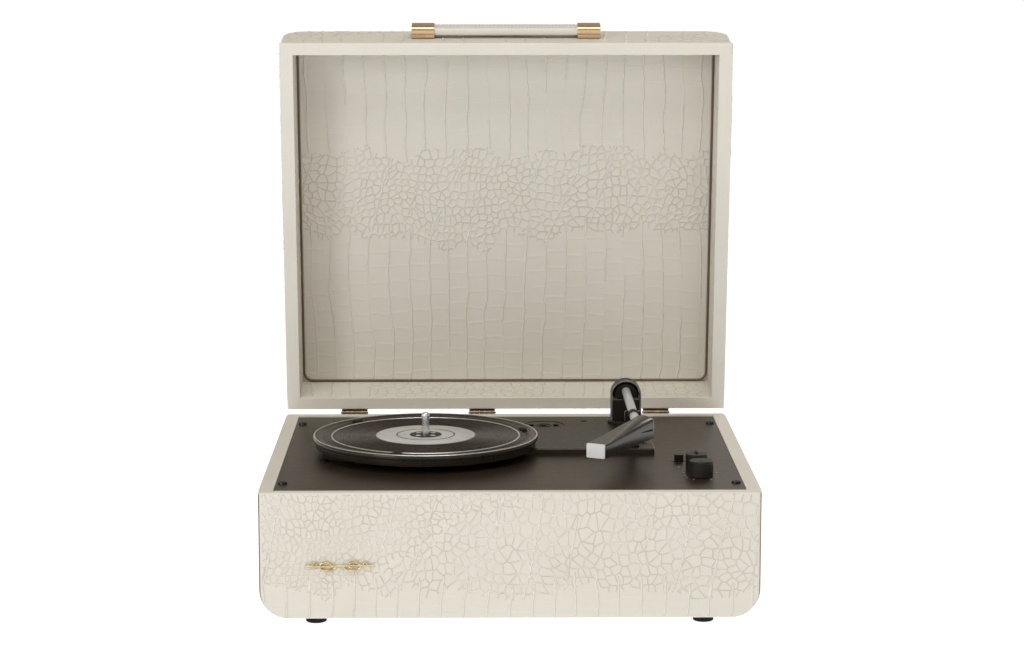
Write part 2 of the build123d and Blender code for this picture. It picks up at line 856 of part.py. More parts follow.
with BuildPart() as connector_panel:
    with BuildSketch(facing_front(case, case_depth)):
        with Locations((0, panel_z)):
            RectangleRounded(panel_width, panel_height, 3)
    extrude(amount=-1.6)
    with BuildSketch(facing_front(case, case_depth)):
        with Locations((0, panel_z)):
            Rectangle(panel_hole_width - 0.6, panel_hole_height - 0.6)
    extrude(amount=3)
    with BuildSketch(facing_front(case, case_depth + 1.6)):
        with Locations((-38, panel_z), (-18, panel_z)):
            Circle(4.5)
        with Locations((4, panel_z), (20, panel_z), (40, panel_z)):
            Circle(3.9)
    extrude(amount=4.6, mode=Mode.SUBTRACT)

with BuildPart() as rca_jacks:
    with BuildSketch(facing_front(case, case_depth + 8)):
        with Locations((-38, panel_z), (-18, panel_z)):
            Circle(4.1)
            Circle(1.7, mode=Mode.SUBTRACT)
    extrude(amount=9)
    with BuildSketch(facing_front(case, case_depth - 1)):
        with Locations((-38, panel_z), (-18, panel_z)):
            Circle(4.5)
    extrude(amount=10)

with BuildPart() as barrel_jacks:
    with BuildSketch(facing_front(case, case_depth + 1.6)):
        with Locations((4, panel_z), (20, panel_z), (40, panel_z)):
            Circle(3.9)
    extrude(amount=13)
    with BuildSketch(facing_front(case, case_depth + 1.6)):
        with Locations((4, panel_z), (20, panel_z)):
            Circle(1.8)
        with Locations((40, panel_z)):
            Circle(2.75)
            Circle(1, mode=Mode.SUBTRACT)
    extrude(amount=9, mode=Mode.SUBTRACT)

grille_radius = 42
grille_slots = 8
slot_pitch = 7.6
with BuildPart() as speaker_grilles:
    with BuildSketch(facing_front(case, case_depth)):
        with Locations((-speaker_x, speaker_z), (speaker_x, speaker_z)):
            Circle(grille_radius)
    extrude(amount=-2)
    chamfer(speaker_grilles.edges().filter_by(GeomType.CIRCLE).group_by(Axis.Y)[-1], 0.8)
    with BuildSketch(facing_front(case, case_depth + 2)):
        for row in range(grille_slots):
            height = (row - (grille_slots - 1) / 2) * slot_pitch
            reach = sqrt((speaker_radius - 5) ** 2 - height * height)
            with Locations((-speaker_x, speaker_z + height), (speaker_x, speaker_z + height)):
                SlotOverall(2 * reach, 3)
    extrude(amount=2, mode=Mode.SUBTRACT)

with BuildPart() as speaker_frames:
    with BuildSketch(facing_front(case, rear_inner)):
        with Locations((-speaker_x, speaker_z), (speaker_x, speaker_z)):
            Circle(speaker_radius + 1)
            Circle(speaker_radius - 5, mode=Mode.SUBTRACT)
    extrude(amount=2)
    with BuildSketch(facing_front(case, rear_inner - 2)):
        with Locations((-speaker_x, speaker_z), (speaker_x, speaker_z)):
            Circle(speaker_radius - 3)
            Circle(speaker_radius - 5, mode=Mode.SUBTRACT)
    extrude(amount=14)
    with BuildSketch(facing_front(case, rear_inner - 16)):
        with Locations((-speaker_x, speaker_z), (speaker_x, speaker_z)):
            Circle(speaker_radius - 3)
    extrude(amount=2)
    with BuildSketch(facing_front(case, rear_inner - 18)):
        with Locations((-speaker_x, speaker_z), (speaker_x, speaker_z)):
            Circle(22)
    extrude(amount=14)

with BuildPart() as speaker_cones:
    for x in (-speaker_x, speaker_x):
        with BuildSketch(facing_front(case, rear_inner - 2.5)):
            with Locations((x, speaker_z)):
                Circle(speaker_radius - 5.4)
        with BuildSketch(facing_front(case, rear_inner - 13)):
            with Locations((x, speaker_z)):
                Circle(12)
        loft()

# ---------------------------------------------------------------------------
# Lid, modelled closed in the lid's own frame
# ---------------------------------------------------------------------------

lid_depth_inside = 50.7
lining_gap = 2
lining_thickness = lid_height - lid_roof - lid_depth_inside
lid_rear_inner = case_depth - lid_board

with BuildPart() as lid_shell:
    with BuildSketch(facing_front(lid, lid_rear_inner)):
        case_face(0, lid_height, 1)
        case_hollow(lid_height, lid_roof, 1, lid_inner_radius)
    extrude(amount=lid_rear_inner - lid_board)

handle_screw_radius = 2
handle_screw_places = [
    (side * (handle_half + cap_length / 2 + step), handle_z) for side in (-1, 1) for step in (-6, 6)
]

with BuildPart() as lid_front_board:
    with BuildSketch(facing_front(lid, lid_board)):
        case_face(board_reveal, lid_height, 1)
    extrude(amount=lid_board)
    with BuildSketch(facing_front(lid, lid_board)):
        with Locations(*handle_screw_places):
            Circle(handle_screw_radius)
    extrude(amount=lid_board, mode=Mode.SUBTRACT)
    with BuildSketch(facing_front(lid, lid_board)):
        with Locations(*handle_screw_places):
            Circle(4)
    extrude(amount=2.5, mode=Mode.SUBTRACT)
    with BuildSketch(lid.offset(magnet_cover)):
        with Locations(*[(x, base_front_thickness / 2) for x in (-magnet_x, magnet_x)]):
            Circle(magnet_radius)
    extrude(amount=magnet_height, mode=Mode.SUBTRACT)

with BuildPart() as lid_magnets:
    with BuildSketch(lid.offset(magnet_cover)):
        with Locations(*[(x, base_front_thickness / 2) for x in (-magnet_x, magnet_x)]):
            Circle(magnet_radius)
    extrude(amount=magnet_height)

with BuildPart() as lid_rear_board:
    with BuildSketch(facing_front(lid, case_depth)):
        case_face(board_reveal, lid_height, 1)
        with Locations(*[(x, hinge_screw_z) for x in hinge_screw_columns]):
            Circle(hinge_screw_radius, mode=Mode.SUBTRACT)
    extrude(amount=lid_board)

with BuildPart() as lid_lining:
    with BuildSketch(lid.offset(lid_depth_inside)):
        with Locations((0, case_depth / 2)):
            RectangleRounded(
                case_width - 2 * side_wall - 2 * lining_gap,
                case_depth - 2 * lid_board - 2 * lining_gap,
                8,
            )
    extrude(amount=lining_thickness)

# ---------------------------------------------------------------------------
# Hinges
# ---------------------------------------------------------------------------

knuckles = 5
knuckle_pitch = hinge_length / knuckles
leaf_height = 15
leaf_play = 0.08


def hinge_leaves(frame, side, turns, bore):
    """Three leaves screwed to the rear faces; turns lists the knuckles that belong to these leaves."""
    with BuildPart() as leaves:
        for centre in hinge_centres:
            with BuildSketch(facing_front(frame, case_depth)):
                with Locations((centre, side * (leaf_height / 2 + knuckle_radius + 0.3))):
                    Rectangle(hinge_length, leaf_height)
            extrude(amount=-hinge_leaf)
            for turn in turns:
                left = centre - hinge_length / 2 + turn * knuckle_pitch + 0.15
                with BuildSketch(facing_right(frame, left)):
                    with Locations((hinge_y, 0)):
                        Circle(knuckle_radius)
                    with Locations((case_depth + hinge_leaf / 2, side * 1.4)):
                        Rectangle(hinge_leaf, 2.4)
                extrude(amount=knuckle_pitch - 0.3)
                with BuildSketch(facing_right(frame, left)):
                    with Locations((hinge_y, 0)):
                        Circle(bore)
                extrude(amount=knuckle_pitch - 0.3, mode=Mode.SUBTRACT)
            with BuildSketch(facing_front(frame, case_depth)):
                with Locations(*[(centre + s, side * hinge_screw_z) for s in (-hinge_screw_x, hinge_screw_x)]):
                    Circle(hinge_screw_radius)
            extrude(amount=-hinge_leaf, mode=Mode.SUBTRACT)
    return leaves


def hinge_screws(frame, side):
    """Two countersunk screws in each of the three leaves."""
    with BuildPart() as screws:
        for centre in hinge_centres:
            for shift in (-hinge_screw_x, hinge_screw_x):
                with BuildSketch(facing_front(frame, case_depth + hinge_leaf)):
                    with Locations((centre + shift, side * hinge_screw_z)):
                        Circle(hinge_screw_radius)
                extrude(amount=hinge_leaf + hinge_screw_reach)
                with BuildSketch(facing_front(frame, case_depth + hinge_leaf)):
                    with Locations((centre + shift, side * hinge_screw_z)):
                        Circle(2.4)
                extrude(amount=-0.6)
    return screws


hinge_base_leaves = hinge_leaves(case, -1, (0, 2, 4), hinge_pin_radius)
hinge_lid_leaves = hinge_leaves(lid, 1, (1, 3), hinge_pin_radius + leaf_play)
hinge_base_screws = hinge_screws(case, -1)
hinge_lid_screws = hinge_screws(lid, 1)

with BuildPart() as hinge_pins:
    for centre in hinge_centres:
        with BuildSketch(facing_right(case, centre - hinge_length / 2 - 0.8)):
            with Locations((hinge_y, 0)):
                Circle(hinge_pin_radius)
        extrude(amount=hinge_length + 1.6)

# ---------------------------------------------------------------------------
# Handle: a padded strap whose end tongues slide in two hollow caps
# ---------------------------------------------------------------------------

cap_width = 22
cap_wall = 1.6
strap_low = 1.4
strap_thickness = 8.4
tongue_thickness = 3.2

with BuildPart() as handle_caps:
    for side in (-1, 1):
        left = side * (handle_half + cap_length / 2) - cap_length / 2
        with BuildSketch(facing_right(lid, left)):
            with Locations((-cap_proud / 2, handle_z)):
                RectangleRounded(cap_proud, cap_width, 4.5)
            with Locations((-1.5, handle_z)):
                Rectangle(3, cap_width)
        extrude(amount=cap_length)
        hollow_left = left if side > 0 else left + cap_wall
        with BuildSketch(facing_right(lid, hollow_left)):
            with Locations((-cap_proud / 2, handle_z)):
                Rectangle(cap_proud - 2 * cap_wall, cap_width - 6)
        extrude(amount=cap_length - cap_wall, mode=Mode.SUBTRACT)
    with BuildSketch(facing_front(lid, 0)):
        with Locations(*handle_screw_places):
            Circle(handle_screw_radius)
    extrude(amount=cap_wall, mode=Mode.SUBTRACT)

with BuildPart() as handle_strap:
    with BuildSketch(facing_right(lid, -handle_half + part_gap)):
        with Locations((-strap_low - strap_thickness / 2, handle_z)):
            RectangleRounded(strap_thickness, strap_width, 3.8)
    extrude(amount=2 * (handle_half - part_gap))
    with BuildSketch(facing_right(lid, -handle_half - 15)):
        with Locations((-2.2 - tongue_thickness / 2, handle_z)):
            Rectangle(tongue_thickness, cap_width - 8)
    extrude(amount=2 * handle_half + 30)

with BuildPart() as handle_screws:
    with BuildSketch(facing_front(lid, lid_board)):
        with Locations(*handle_screw_places):
            Circle(4)
    extrude(amount=2.5)
    with BuildSketch(facing_front(lid, lid_board - 2.5)):
        with Locations(*handle_screw_places):
            Circle(handle_screw_radius)
    extrude(amount=lid_board - 2.5 + cap_wall)

# ---------------------------------------------------------------------------
# One STEP file for each sub-part
# ---------------------------------------------------------------------------

sub_parts = {
    "base_shell": base_shell,
    "base_front_board": base_front_board,
    "base_rear_board": base_rear_board,
    "base_magnets": base_magnets,
    "hinge_rail": hinge_rail,
    "corner_blocks": corner_blocks,
    "feet": feet,
    "foot_screws": foot_screws,
    "front_badge": front_badge,
    "deck_plate": deck_plate,
    "deck_screws": deck_screws,
    "mechanism_plate": mechanism_plate,
    "mechanism_screws": mechanism_screws,
    "record_adapter": record_adapter,
    "platter": platter,
    "platter_label": platter_label,
    "platter_pads": platter_pads,
    "spindle": spindle,
    "spindle_bearing": spindle_bearing,
    "motor": motor,
    "motor_pulley": motor_pulley,
    "drive_belt": drive_belt,
    "arm_flange": arm_flange,
    "arm_hood": arm_hood,
    "arm_pivot_pins": arm_pivot_pins,
    "arm_pivot_block": arm_pivot_block,
    "counterweight": counterweight,
    "arm_tube": arm_tube,
    "headshell": headshell,
    "cartridge": cartridge,
    "stylus": stylus,
    "arm_rest": arm_rest,
    "volume_knob": volume_knob,
    "volume_shaft": volume_shaft,
    "volume_pot": volume_pot,
    "selector_knob": selector_knob,
    "selector_shaft": selector_shaft,
    "selector_switch": selector_switch,
    "speed_lever": speed_lever,
    "speed_switch": speed_switch,
    "main_board": main_board,
    "connector_panel": connector_panel,
    "rca_jacks": rca_jacks,
    "barrel_jacks": barrel_jacks,
    "speaker_frames": speaker_frames,
    "speaker_cones": speaker_cones,
    "speaker_grilles": speaker_grilles,
    "lid_shell": lid_shell,
    "lid_front_board": lid_front_board,
    "lid_rear_board": lid_rear_board,
    "lid_magnets": lid_magnets,
    "lid_lining": lid_lining,
    "hinge_base_leaves": hinge_base_leaves,
    "hinge_lid_leaves": hinge_lid_leaves,
    "hinge_base_screws": hinge_base_screws,
    "hinge_lid_screws": hinge_lid_screws,
    "hinge_pins": hinge_pins,
    "handle_caps": handle_caps,
    "handle_strap": handle_strap,
    "handle_screws": handle_screws,
}

for name, sub_part in sub_parts.items():
    sub_part.part.label = name
    export_step(sub_part.part, f"parts/{name}.step")
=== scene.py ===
import json
import math

import bmesh
import bpy
import numpy as np
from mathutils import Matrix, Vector


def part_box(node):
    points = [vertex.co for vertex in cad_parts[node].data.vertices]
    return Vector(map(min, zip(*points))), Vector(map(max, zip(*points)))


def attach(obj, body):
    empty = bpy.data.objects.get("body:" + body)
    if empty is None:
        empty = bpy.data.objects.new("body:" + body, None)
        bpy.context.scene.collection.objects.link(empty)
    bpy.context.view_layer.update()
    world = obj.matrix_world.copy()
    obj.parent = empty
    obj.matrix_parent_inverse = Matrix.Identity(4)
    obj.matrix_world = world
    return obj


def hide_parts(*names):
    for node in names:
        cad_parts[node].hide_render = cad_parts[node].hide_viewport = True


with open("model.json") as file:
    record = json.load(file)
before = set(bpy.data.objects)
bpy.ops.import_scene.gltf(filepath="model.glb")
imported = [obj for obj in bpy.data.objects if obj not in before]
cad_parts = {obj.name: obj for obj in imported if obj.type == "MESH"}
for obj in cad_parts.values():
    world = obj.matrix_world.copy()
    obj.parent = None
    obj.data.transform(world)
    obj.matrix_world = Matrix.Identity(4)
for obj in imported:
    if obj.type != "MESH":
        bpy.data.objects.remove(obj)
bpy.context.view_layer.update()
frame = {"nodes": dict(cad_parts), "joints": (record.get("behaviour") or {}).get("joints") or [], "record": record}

# The case in its own coordinates, in millimetres: x to the right, y from the
# front face backwards, z from the rim plane. The lid has the same coordinates
# turned about the hinge.

MM = 0.001


class CaseFrame:
    """One half of the case: side is the way its body lies from the rim, and at() turns
    millimetres into a place in the shared frame."""

    def __init__(self, name, side, origin, back, up):
        self.name = name
        self.side = side
        self.origin = np.array(origin, float)
        self.across = np.array((1.0, 0.0, 0.0))
        self.back = np.array(back, float)
        self.up = np.array(up, float)

    def at(self, x, y, z):
        x, y, z = (np.asarray(value, float)[..., None] for value in (x, y, z))
        return self.origin + MM * (x * self.across + y * self.back + z * self.up)


def size_mm(node):
    low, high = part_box(node)
    return (high - low) / MM


joints = {joint["name"]: joint for joint in frame["joints"]}
hinge_point = np.array(joints["lid_hinge"]["pos_m"])
opening = -math.radians(joints["lid_hinge"]["range_deg"][0])
front_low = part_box("base_front_board")[0]
shell_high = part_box("base_shell")[1]
rear_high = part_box("base_rear_board")[1]

base = CaseFrame("base", -1, (0, front_low.y, shell_high.z), (0, 1, 0), (0, 0, 1))
hinge_y = (hinge_point[1] - front_low.y) / MM
lid_back = np.array((0, math.cos(opening), -math.sin(opening)))
lid_up = np.array((0, math.sin(opening), math.cos(opening)))
lid = CaseFrame("lid", 1, hinge_point - lid_back * hinge_y * MM, lid_back, lid_up)


def local_box(node):
    """The low and high corner of a node's box in the base's coordinates."""
    return [(np.array(corner) - base.origin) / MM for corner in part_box(node)]


def centre_of(node):
    low, high = local_box(node)
    return (low + high) / 2


def top_of(node):
    return local_box(node)[1][2]


WIDTH = size_mm("base_shell").x
DEPTH = (rear_high.y - front_low.y) / MM
BASE_HEIGHT = size_mm("base_shell").z
LID_HEIGHT = 62.0
CORNER = 25.0
SIDE_WALL = 13.0
REVEAL = 2.0
FRONT_BOARD = size_mm("base_front_board").y
REAR_BOARD = size_mm("base_rear_board").y
LID_BOARD = 12.0
BASE_FLOOR = 9.0
LID_ROOF = 8.0
LINING_Z = 50.7
LINING_INSET = 2.0
SHELL_STEP = 1.25
STITCH_INSET = 2.4
RIM_UNDERSIDE = 1.7
RIM_DROP = 0.5
RIM_CLEARANCE = 0.12

# ---- Repeatable noise and the crocodile relief, all in millimetres ----

RIDGE = 0.85
CREASE = 0.20
RIDGE_WIDTH = 0.62
STRIP = 18.6
CREASE_GAP = 15.5


def chance(i, j, seed):
    """A number from 0 to 1 for each whole i and j, the same on every run."""
    i = np.asarray(i, np.int64)
    j = np.asarray(j, np.int64)
    mixed = (i * 374761393 + j * 668265263 + seed * 2147483647) & 0xFFFFFFFF
    mixed = ((mixed ^ (mixed >> 13)) * 1274126177) & 0xFFFFFFFF
    mixed = ((mixed ^ (mixed >> 16)) * 2246822519) & 0xFFFFFFFF
    return ((mixed ^ (mixed >> 15)) & 0xFFFFFF) / float(0xFFFFFF)


def full_turn(count):
    return np.linspace(0, 2 * math.pi, count, endpoint=False)


def smooth(t):
    t = np.clip(t, 0, 1)
    return t * t * (3 - 2 * t)


def noise(x, y, size, seed):
    """Smooth noise from -1 to 1 whose bumps are about size wide."""
    x, y = x / size, y / size
    i, j = np.floor(x), np.floor(y)
    s, t = smooth(x - i), smooth(y - j)
    low = chance(i, j, seed) * (1 - s) + chance(i + 1, j, seed) * s
    high = chance(i, j + 1, seed) * (1 - s) + chance(i + 1, j + 1, seed) * s
    return 2 * (low * (1 - t) + high * t) - 1


def cell_edges(x, y, wide, tall, seed):
    """The distance to the nearest border between scattered cells, in the units of x and y."""
    i0, j0 = np.floor(x / wide), np.floor(y / tall)

    def seed_point(di, dj):
        i, j = i0 + di, j0 + dj
        px = (i + 0.5 + 0.74 * (chance(i, j, seed) - 0.5)) * wide
        py = (j + 0.5 + 0.74 * (chance(i, j, seed + 7) - 0.5)) * tall
        return px, py

    nearest = np.full(x.shape, 1e9)
    near_x, near_y = np.zeros(x.shape), np.zeros(x.shape)
    for di in (-1, 0, 1):
        for dj in (-1, 0, 1):
            px, py = seed_point(di, dj)
            reach = (px - x) ** 2 + (py - y) ** 2
            closer = reach < nearest
            nearest = np.where(closer, reach, nearest)
            near_x, near_y = np.where(closer, px, near_x), np.where(closer, py, near_y)
    edge = np.full(x.shape, 1e9)
    for di in range(-2, 3):
        for dj in range(-2, 3):
            px, py = seed_point(di, dj)
            gap_x, gap_y = px - near_x, py - near_y
            gap = np.hypot(gap_x, gap_y)
            middle_x, middle_y = (px + near_x) / 2, (py + near_y) / 2
            away = ((middle_x - x) * gap_x + (middle_y - y) * gap_y) / np.maximum(gap, 1e-6)
            edge = np.where(gap > 1e-3, np.minimum(edge, away), edge)
    return np.maximum(edge, 0)


def line(distance, height=RIDGE, width=RIDGE_WIDTH):
    return height * np.exp(-((distance / width) ** 2))


def waves(x, y, seed):
    """x bent a little, so that a line of equal values waves along y."""
    bend = 4.0 * noise(x, y, 75, seed) + 1.5 * noise(x, y, 24, seed + 1)
    return x + bend + 0.5 * noise(x, y, 6, seed + 2)


def strips(x, y, seed):
    """Long wavy ridges along y, with faint creases across; some ridges fade for a stretch."""
    across = waves(x, y, seed)
    ridge = np.round(across / STRIP)
    stretch = np.floor(y / 70 + chance(ridge, 0, seed + 3))
    shown = 0.35 + 0.65 * (chance(ridge, stretch, seed + 4) > 0.18)
    long_ridge = line(across - STRIP * ridge) * shown
    column = np.floor(across / STRIP)
    along = y + CREASE_GAP * chance(column, 1, seed + 5) + 1.3 * noise(x, y, 9, seed + 6)
    crease = np.abs(along - CREASE_GAP * np.round(along / CREASE_GAP))
    return np.maximum(long_ridge, line(crease, CREASE, 0.8))


def cells(x, y, wide, tall, seed):
    """Scattered cells drawn out by a slow warp, so that their borders flow."""
    warped_x = x + 8.0 * noise(x, y, 46, seed) + 1.0 * noise(x, y, 9, seed + 1)
    warped_y = y + 8.0 * noise(x, y, 54, seed + 2) + 1.0 * noise(x, y, 8, seed + 3)
    strength = 0.72 + 0.28 * noise(x, y, 15, seed + 4)
    return line(cell_edges(warped_x, warped_y, wide, tall, seed + 5)) * strength


def long_lines(x, y, pitch, seed):
    """Wavy ridges along y, the same ones that strips() has when pitch and seed agree."""
    across = waves(x, y, seed)
    return line(across - pitch * np.round(across / pitch))


def flow_lines(x, y, seed):
    """A few longer slanting ridges."""
    pitch = 34
    across = x + 0.35 * y + 9.0 * noise(x, y, 60, seed) + 1.2 * noise(x, y, 12, seed + 1)
    shown = smooth((noise(x, y, 38, seed + 2) + 0.1) * 4)
    return line(across - pitch * np.round(across / pitch)) * shown


def front_relief(x, h):
    """The base's front: strips along the bottom edge that fork into upright cells above."""
    small = smooth((20 - x - 1.4 * h + 30 * noise(x, h, 40, 31)) / 40)
    coarse = cells(x, h, 7.0, 9.6, 32)
    fine = cells(x, h, 5.4, 7.0, 33)
    flow = long_lines(x + 0.25 * h, h, 31, 34) * smooth(0.5 + 3 * noise(x, h, 34, 37))
    body = np.maximum(coarse * (1 - small) + fine * small, flow)
    start = BASE_HEIGHT - 27 + 8 * noise(x, 0 * h, 17, 35)
    low = smooth((h - start) / 4)
    stems = long_lines(x, h, STRIP, 36) * smooth((h - start + 17) / 12)
    return np.maximum(body * (1 - low) + strips(x, h, 36) * low, stems)


def lining_relief(x, y):
    """The lid's lining: strips at the top and bottom, with a band of small cells between."""
    depth = DEPTH - 2 * LID_BOARD
    upper = 0.30 * depth + 9 * noise(x, 0 * y, 19, 41)
    lower = 0.57 * depth + 13 * noise(x, 0 * y, 19, 42)
    band = smooth((y - upper) / 6) * smooth((lower - y) / 6)
    middle = np.maximum(cells(x, y, 7.0, 8.0, 43), flow_lines(x, y, 44))
    joined = smooth((y - lower + 20) / 14) * smooth((lower + 6 - y) / 6)
    stems = long_lines(x, y, STRIP, 45) * joined
    return np.maximum(middle * band + strips(x, y, 45) * (1 - band), stems)


def side_relief(seed):
    """Cells and strips in turn, for the faces that wrap round the case."""

    def relief(s, y):
        band = smooth(3 * noise(s, y, 90, seed) + 0.5)
        return cells(s, y, 10.0, 9.4, seed + 1) * band + strips(s, y, seed + 2) * (1 - band)

    return relief


def rim_relief(x, y):
    return 0.9 * cells(x, y, 10, 10, 71)


# ---- Mesh helpers ----


def edit_mesh(piece, change):
    work = bmesh.new()
    work.from_mesh(piece.data)
    change(work)
    work.to_mesh(piece.data)
    work.free()


def remove_loose(work):
    loose = [v for v in work.verts if not v.link_faces]
    bmesh.ops.delete(work, geom=loose, context="VERTS")


def face_outwards(work):
    bmesh.ops.recalc_face_normals(work, faces=work.faces)


def merge_close(work):
    bmesh.ops.remove_doubles(work, verts=work.verts, dist=1e-6)


def make_object(name, points, faces, relief=None):
    """A closed mesh object from points in the shared frame, its faces and its relief's height."""
    mesh = bpy.data.meshes.new(name)
    mesh.from_pydata(np.asarray(points, float).tolist(), [], faces)
    mesh.validate()
    mesh.update()
    mesh.shade_smooth()
    mesh.set_sharp_from_angle(angle=math.radians(48))
    if relief is not None:
        attribute = mesh.attributes.new("relief", "FLOAT", "POINT")
        attribute.data.foreach_set("value", np.asarray(relief, np.float32))
    piece = bpy.data.objects.new(name, mesh)
    bpy.context.scene.collection.objects.link(piece)
    edit_mesh(piece, face_outwards)
    return piece


def finish_piece(piece, body, slot_name, *nodes, material=None):
    """Its body, its slot, the CAD nodes that it stands for, and a material if not its slot's."""
    piece.data.materials.clear()
    piece.data.materials.append(material or SLOT_MATERIAL[slot_name])
    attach(piece, body)
    if nodes:
        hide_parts(*nodes)


def graded(length, step, edge=2.0):
    """Places from 0 to length, close together near both ends."""
    near = edge * (1 - np.cos(np.linspace(0, math.pi / 2, 6)))[:-1]
    count = max(2, int(round((length - 2 * edge) / step)))
    middle = np.linspace(edge, length - edge, count + 1)
    return np.concatenate([near, middle, length - near[::-1]])


def quads(rows, columns, wrap_columns=False):
    """The faces of a grid of points, row by row."""
    across = columns if wrap_columns else columns - 1
    i, j = np.meshgrid(np.arange(rows - 1), np.arange(across), indexing="ij")
    right = (j + 1) % columns
    this_row, next_row = i * columns, (i + 1) * columns
    corners = (this_row + j, this_row + right, next_row + right, next_row + j)
    return np.stack(corners, -1).reshape(-1, 4)


def rounded_distance(x, h, half_width, height, near_radius, far_radius):
    """How far a point inside the outline is from its edge."""
    side = half_width - np.abs(x)
    inside = np.minimum(np.minimum(side, h), height - h)
    for radius, end in ((near_radius, h), (far_radius, height - h)):
        if radius:
            corner = (side < radius) & (end < radius)
            bend = radius - np.hypot(radius - side, radius - end)
            inside = np.where(corner, bend, inside)
    return np.maximum(inside, 0)


def edge_drop(distance, radius):
    short = np.clip(radius - distance, 0, radius)
    return radius - np.sqrt(radius**2 - short**2)


def plate(name, origin, along, outward, width, height, radii, thickness, relief, step,
          edge=1.6, hole=None, across=(1.0, 0.0, 0.0)):
    """A covered board: a relief face with a rounded edge, straight sides and a flat back.

    along is the direction in which its height runs, radii are those of its near and far corners,
    and hole says which points are cut out.
    """
    near_radius, far_radius = radii
    rows = graded(height, step)
    for radius, mirror in ((near_radius, False), (far_radius, True)):
        if radius:
            bend = radius * (1 - np.cos(np.linspace(0, math.pi / 2, 44)))
            keep = rows > radius if not mirror else rows < height - radius
            rows = np.concatenate([rows[keep], height - bend if mirror else bend])
    rows = np.unique(np.round(rows, 5))
    half = np.full(rows.shape, width / 2)
    for radius, end in ((near_radius, rows), (far_radius, height - rows)):
        if radius:
            short = np.clip(radius - end, 0, radius)
            half = np.minimum(half, width / 2 - radius + np.sqrt(radius**2 - short**2))
    columns = graded(width, step) / (width / 2) - 1
    x = columns[None, :] * half[:, None]
    h = np.repeat(rows[:, None], len(columns), axis=1)
    away = rounded_distance(x, h, width / 2, height, near_radius, far_radius)
    bumps = relief(x, h) * smooth(away / 3.5)
    lift = bumps - RIDGE - edge_drop(away, edge)
    across = np.array(across)
    flat = origin + MM * (x[..., None] * across + h[..., None] * along)
    top = (flat + MM * lift[..., None] * outward).reshape(-1, 3)
    tint = bumps.reshape(-1)
    n_rows, n_columns = x.shape
    faces = quads(n_rows, n_columns)
    if hole is None:
        loop = border(n_rows, n_columns)
        ring = flat.reshape(-1, 3)[loop] - MM * thickness * outward
        points = np.concatenate([top, ring])
        back = np.arange(len(loop)) + len(top)
        walls = np.stack([loop, np.roll(loop, 1), np.roll(back, 1), back], -1)
        all_faces = faces.tolist() + walls.tolist() + [back[::-1].tolist()]
        tint = np.concatenate([tint, np.zeros(len(ring))])
    else:
        cut = hole(x, h).reshape(-1)
        faces = faces[~cut[faces].any(axis=1)]
        under = (flat - MM * thickness * outward).reshape(-1, 3)
        points = np.concatenate([top, under])
        below = faces[:, ::-1] + len(top)
        all_faces = faces.tolist() + below.tolist() + open_walls(faces, len(top))
        tint = np.concatenate([tint, np.zeros(len(under))])
    piece = make_object(name, points, all_faces, tint)
    edit_mesh(piece, remove_loose)
    return piece


def border(n_rows, n_columns):
    """The indices round the edge of a grid, in order."""
    first = np.arange(n_columns)
    right = np.arange(1, n_rows) * n_columns + n_columns - 1
    last = (n_rows - 1) * n_columns + np.arange(n_columns - 2, -1, -1)
    left = np.arange(n_rows - 2, 0, -1) * n_columns
    return np.concatenate([first, right, last, left])


def open_walls(faces, offset):
    """Walls between a sheet and its copy, offset further on, along every open edge."""
    edges = np.concatenate([faces[:, [k, (k + 1) % 4]] for k in range(4)])
    keys = np.sort(edges, axis=1)
    order = np.lexsort((keys[:, 1], keys[:, 0]))
    ranked = keys[order]
    same = (ranked[1:] == ranked[:-1]).all(axis=1)
    alone = np.ones(len(edges), bool)
    alone[1:] &= ~same
    alone[:-1] &= ~same
    rim = edges[order][alone]
    return np.stack([rim[:, 1], rim[:, 0], rim[:, 0] + offset, rim[:, 1] + offset], -1).tolist()


def outline_path(height, radius, step, start):
    """The outer wall from one rim to the other: points, outward normals and distance along."""
    points, normals = [], []
    half = WIDTH / 2

    def straight(x0, z0, x1, z1, nx, nz):
        count = max(2, int(round(math.hypot(x1 - x0, z1 - z0) / step)))
        for t in np.linspace(0, 1, count, endpoint=False):
            points.append((x0 + (x1 - x0) * t, z0 + (z1 - z0) * t))
            normals.append((nx, nz))

    def bend(x, z, first):
        count = max(6, int(radius * 1.5 / step))
        for t in np.linspace(0, math.pi / 2, count, endpoint=False):
            nx, nz = math.cos(first - t), math.sin(first - t)
            points.append((x + radius * nx, z + radius * nz))
            normals.append((nx, nz))

    straight(-half, start, -half, height - radius, -1, 0)
    bend(-half + radius, height - radius, math.pi)
    straight(-half + radius, height, half - radius, height, 0, 1)
    bend(half - radius, height - radius, math.pi / 2)
    straight(half, height - radius, half, start, 1, 0)
    points.append((half, start))
    normals.append((1, 0))
    points, normals = np.array(points), np.array(normals)
    steps = np.hypot(*np.diff(points, axis=0).T)
    return points, normals, np.concatenate([[0], np.cumsum(steps)])


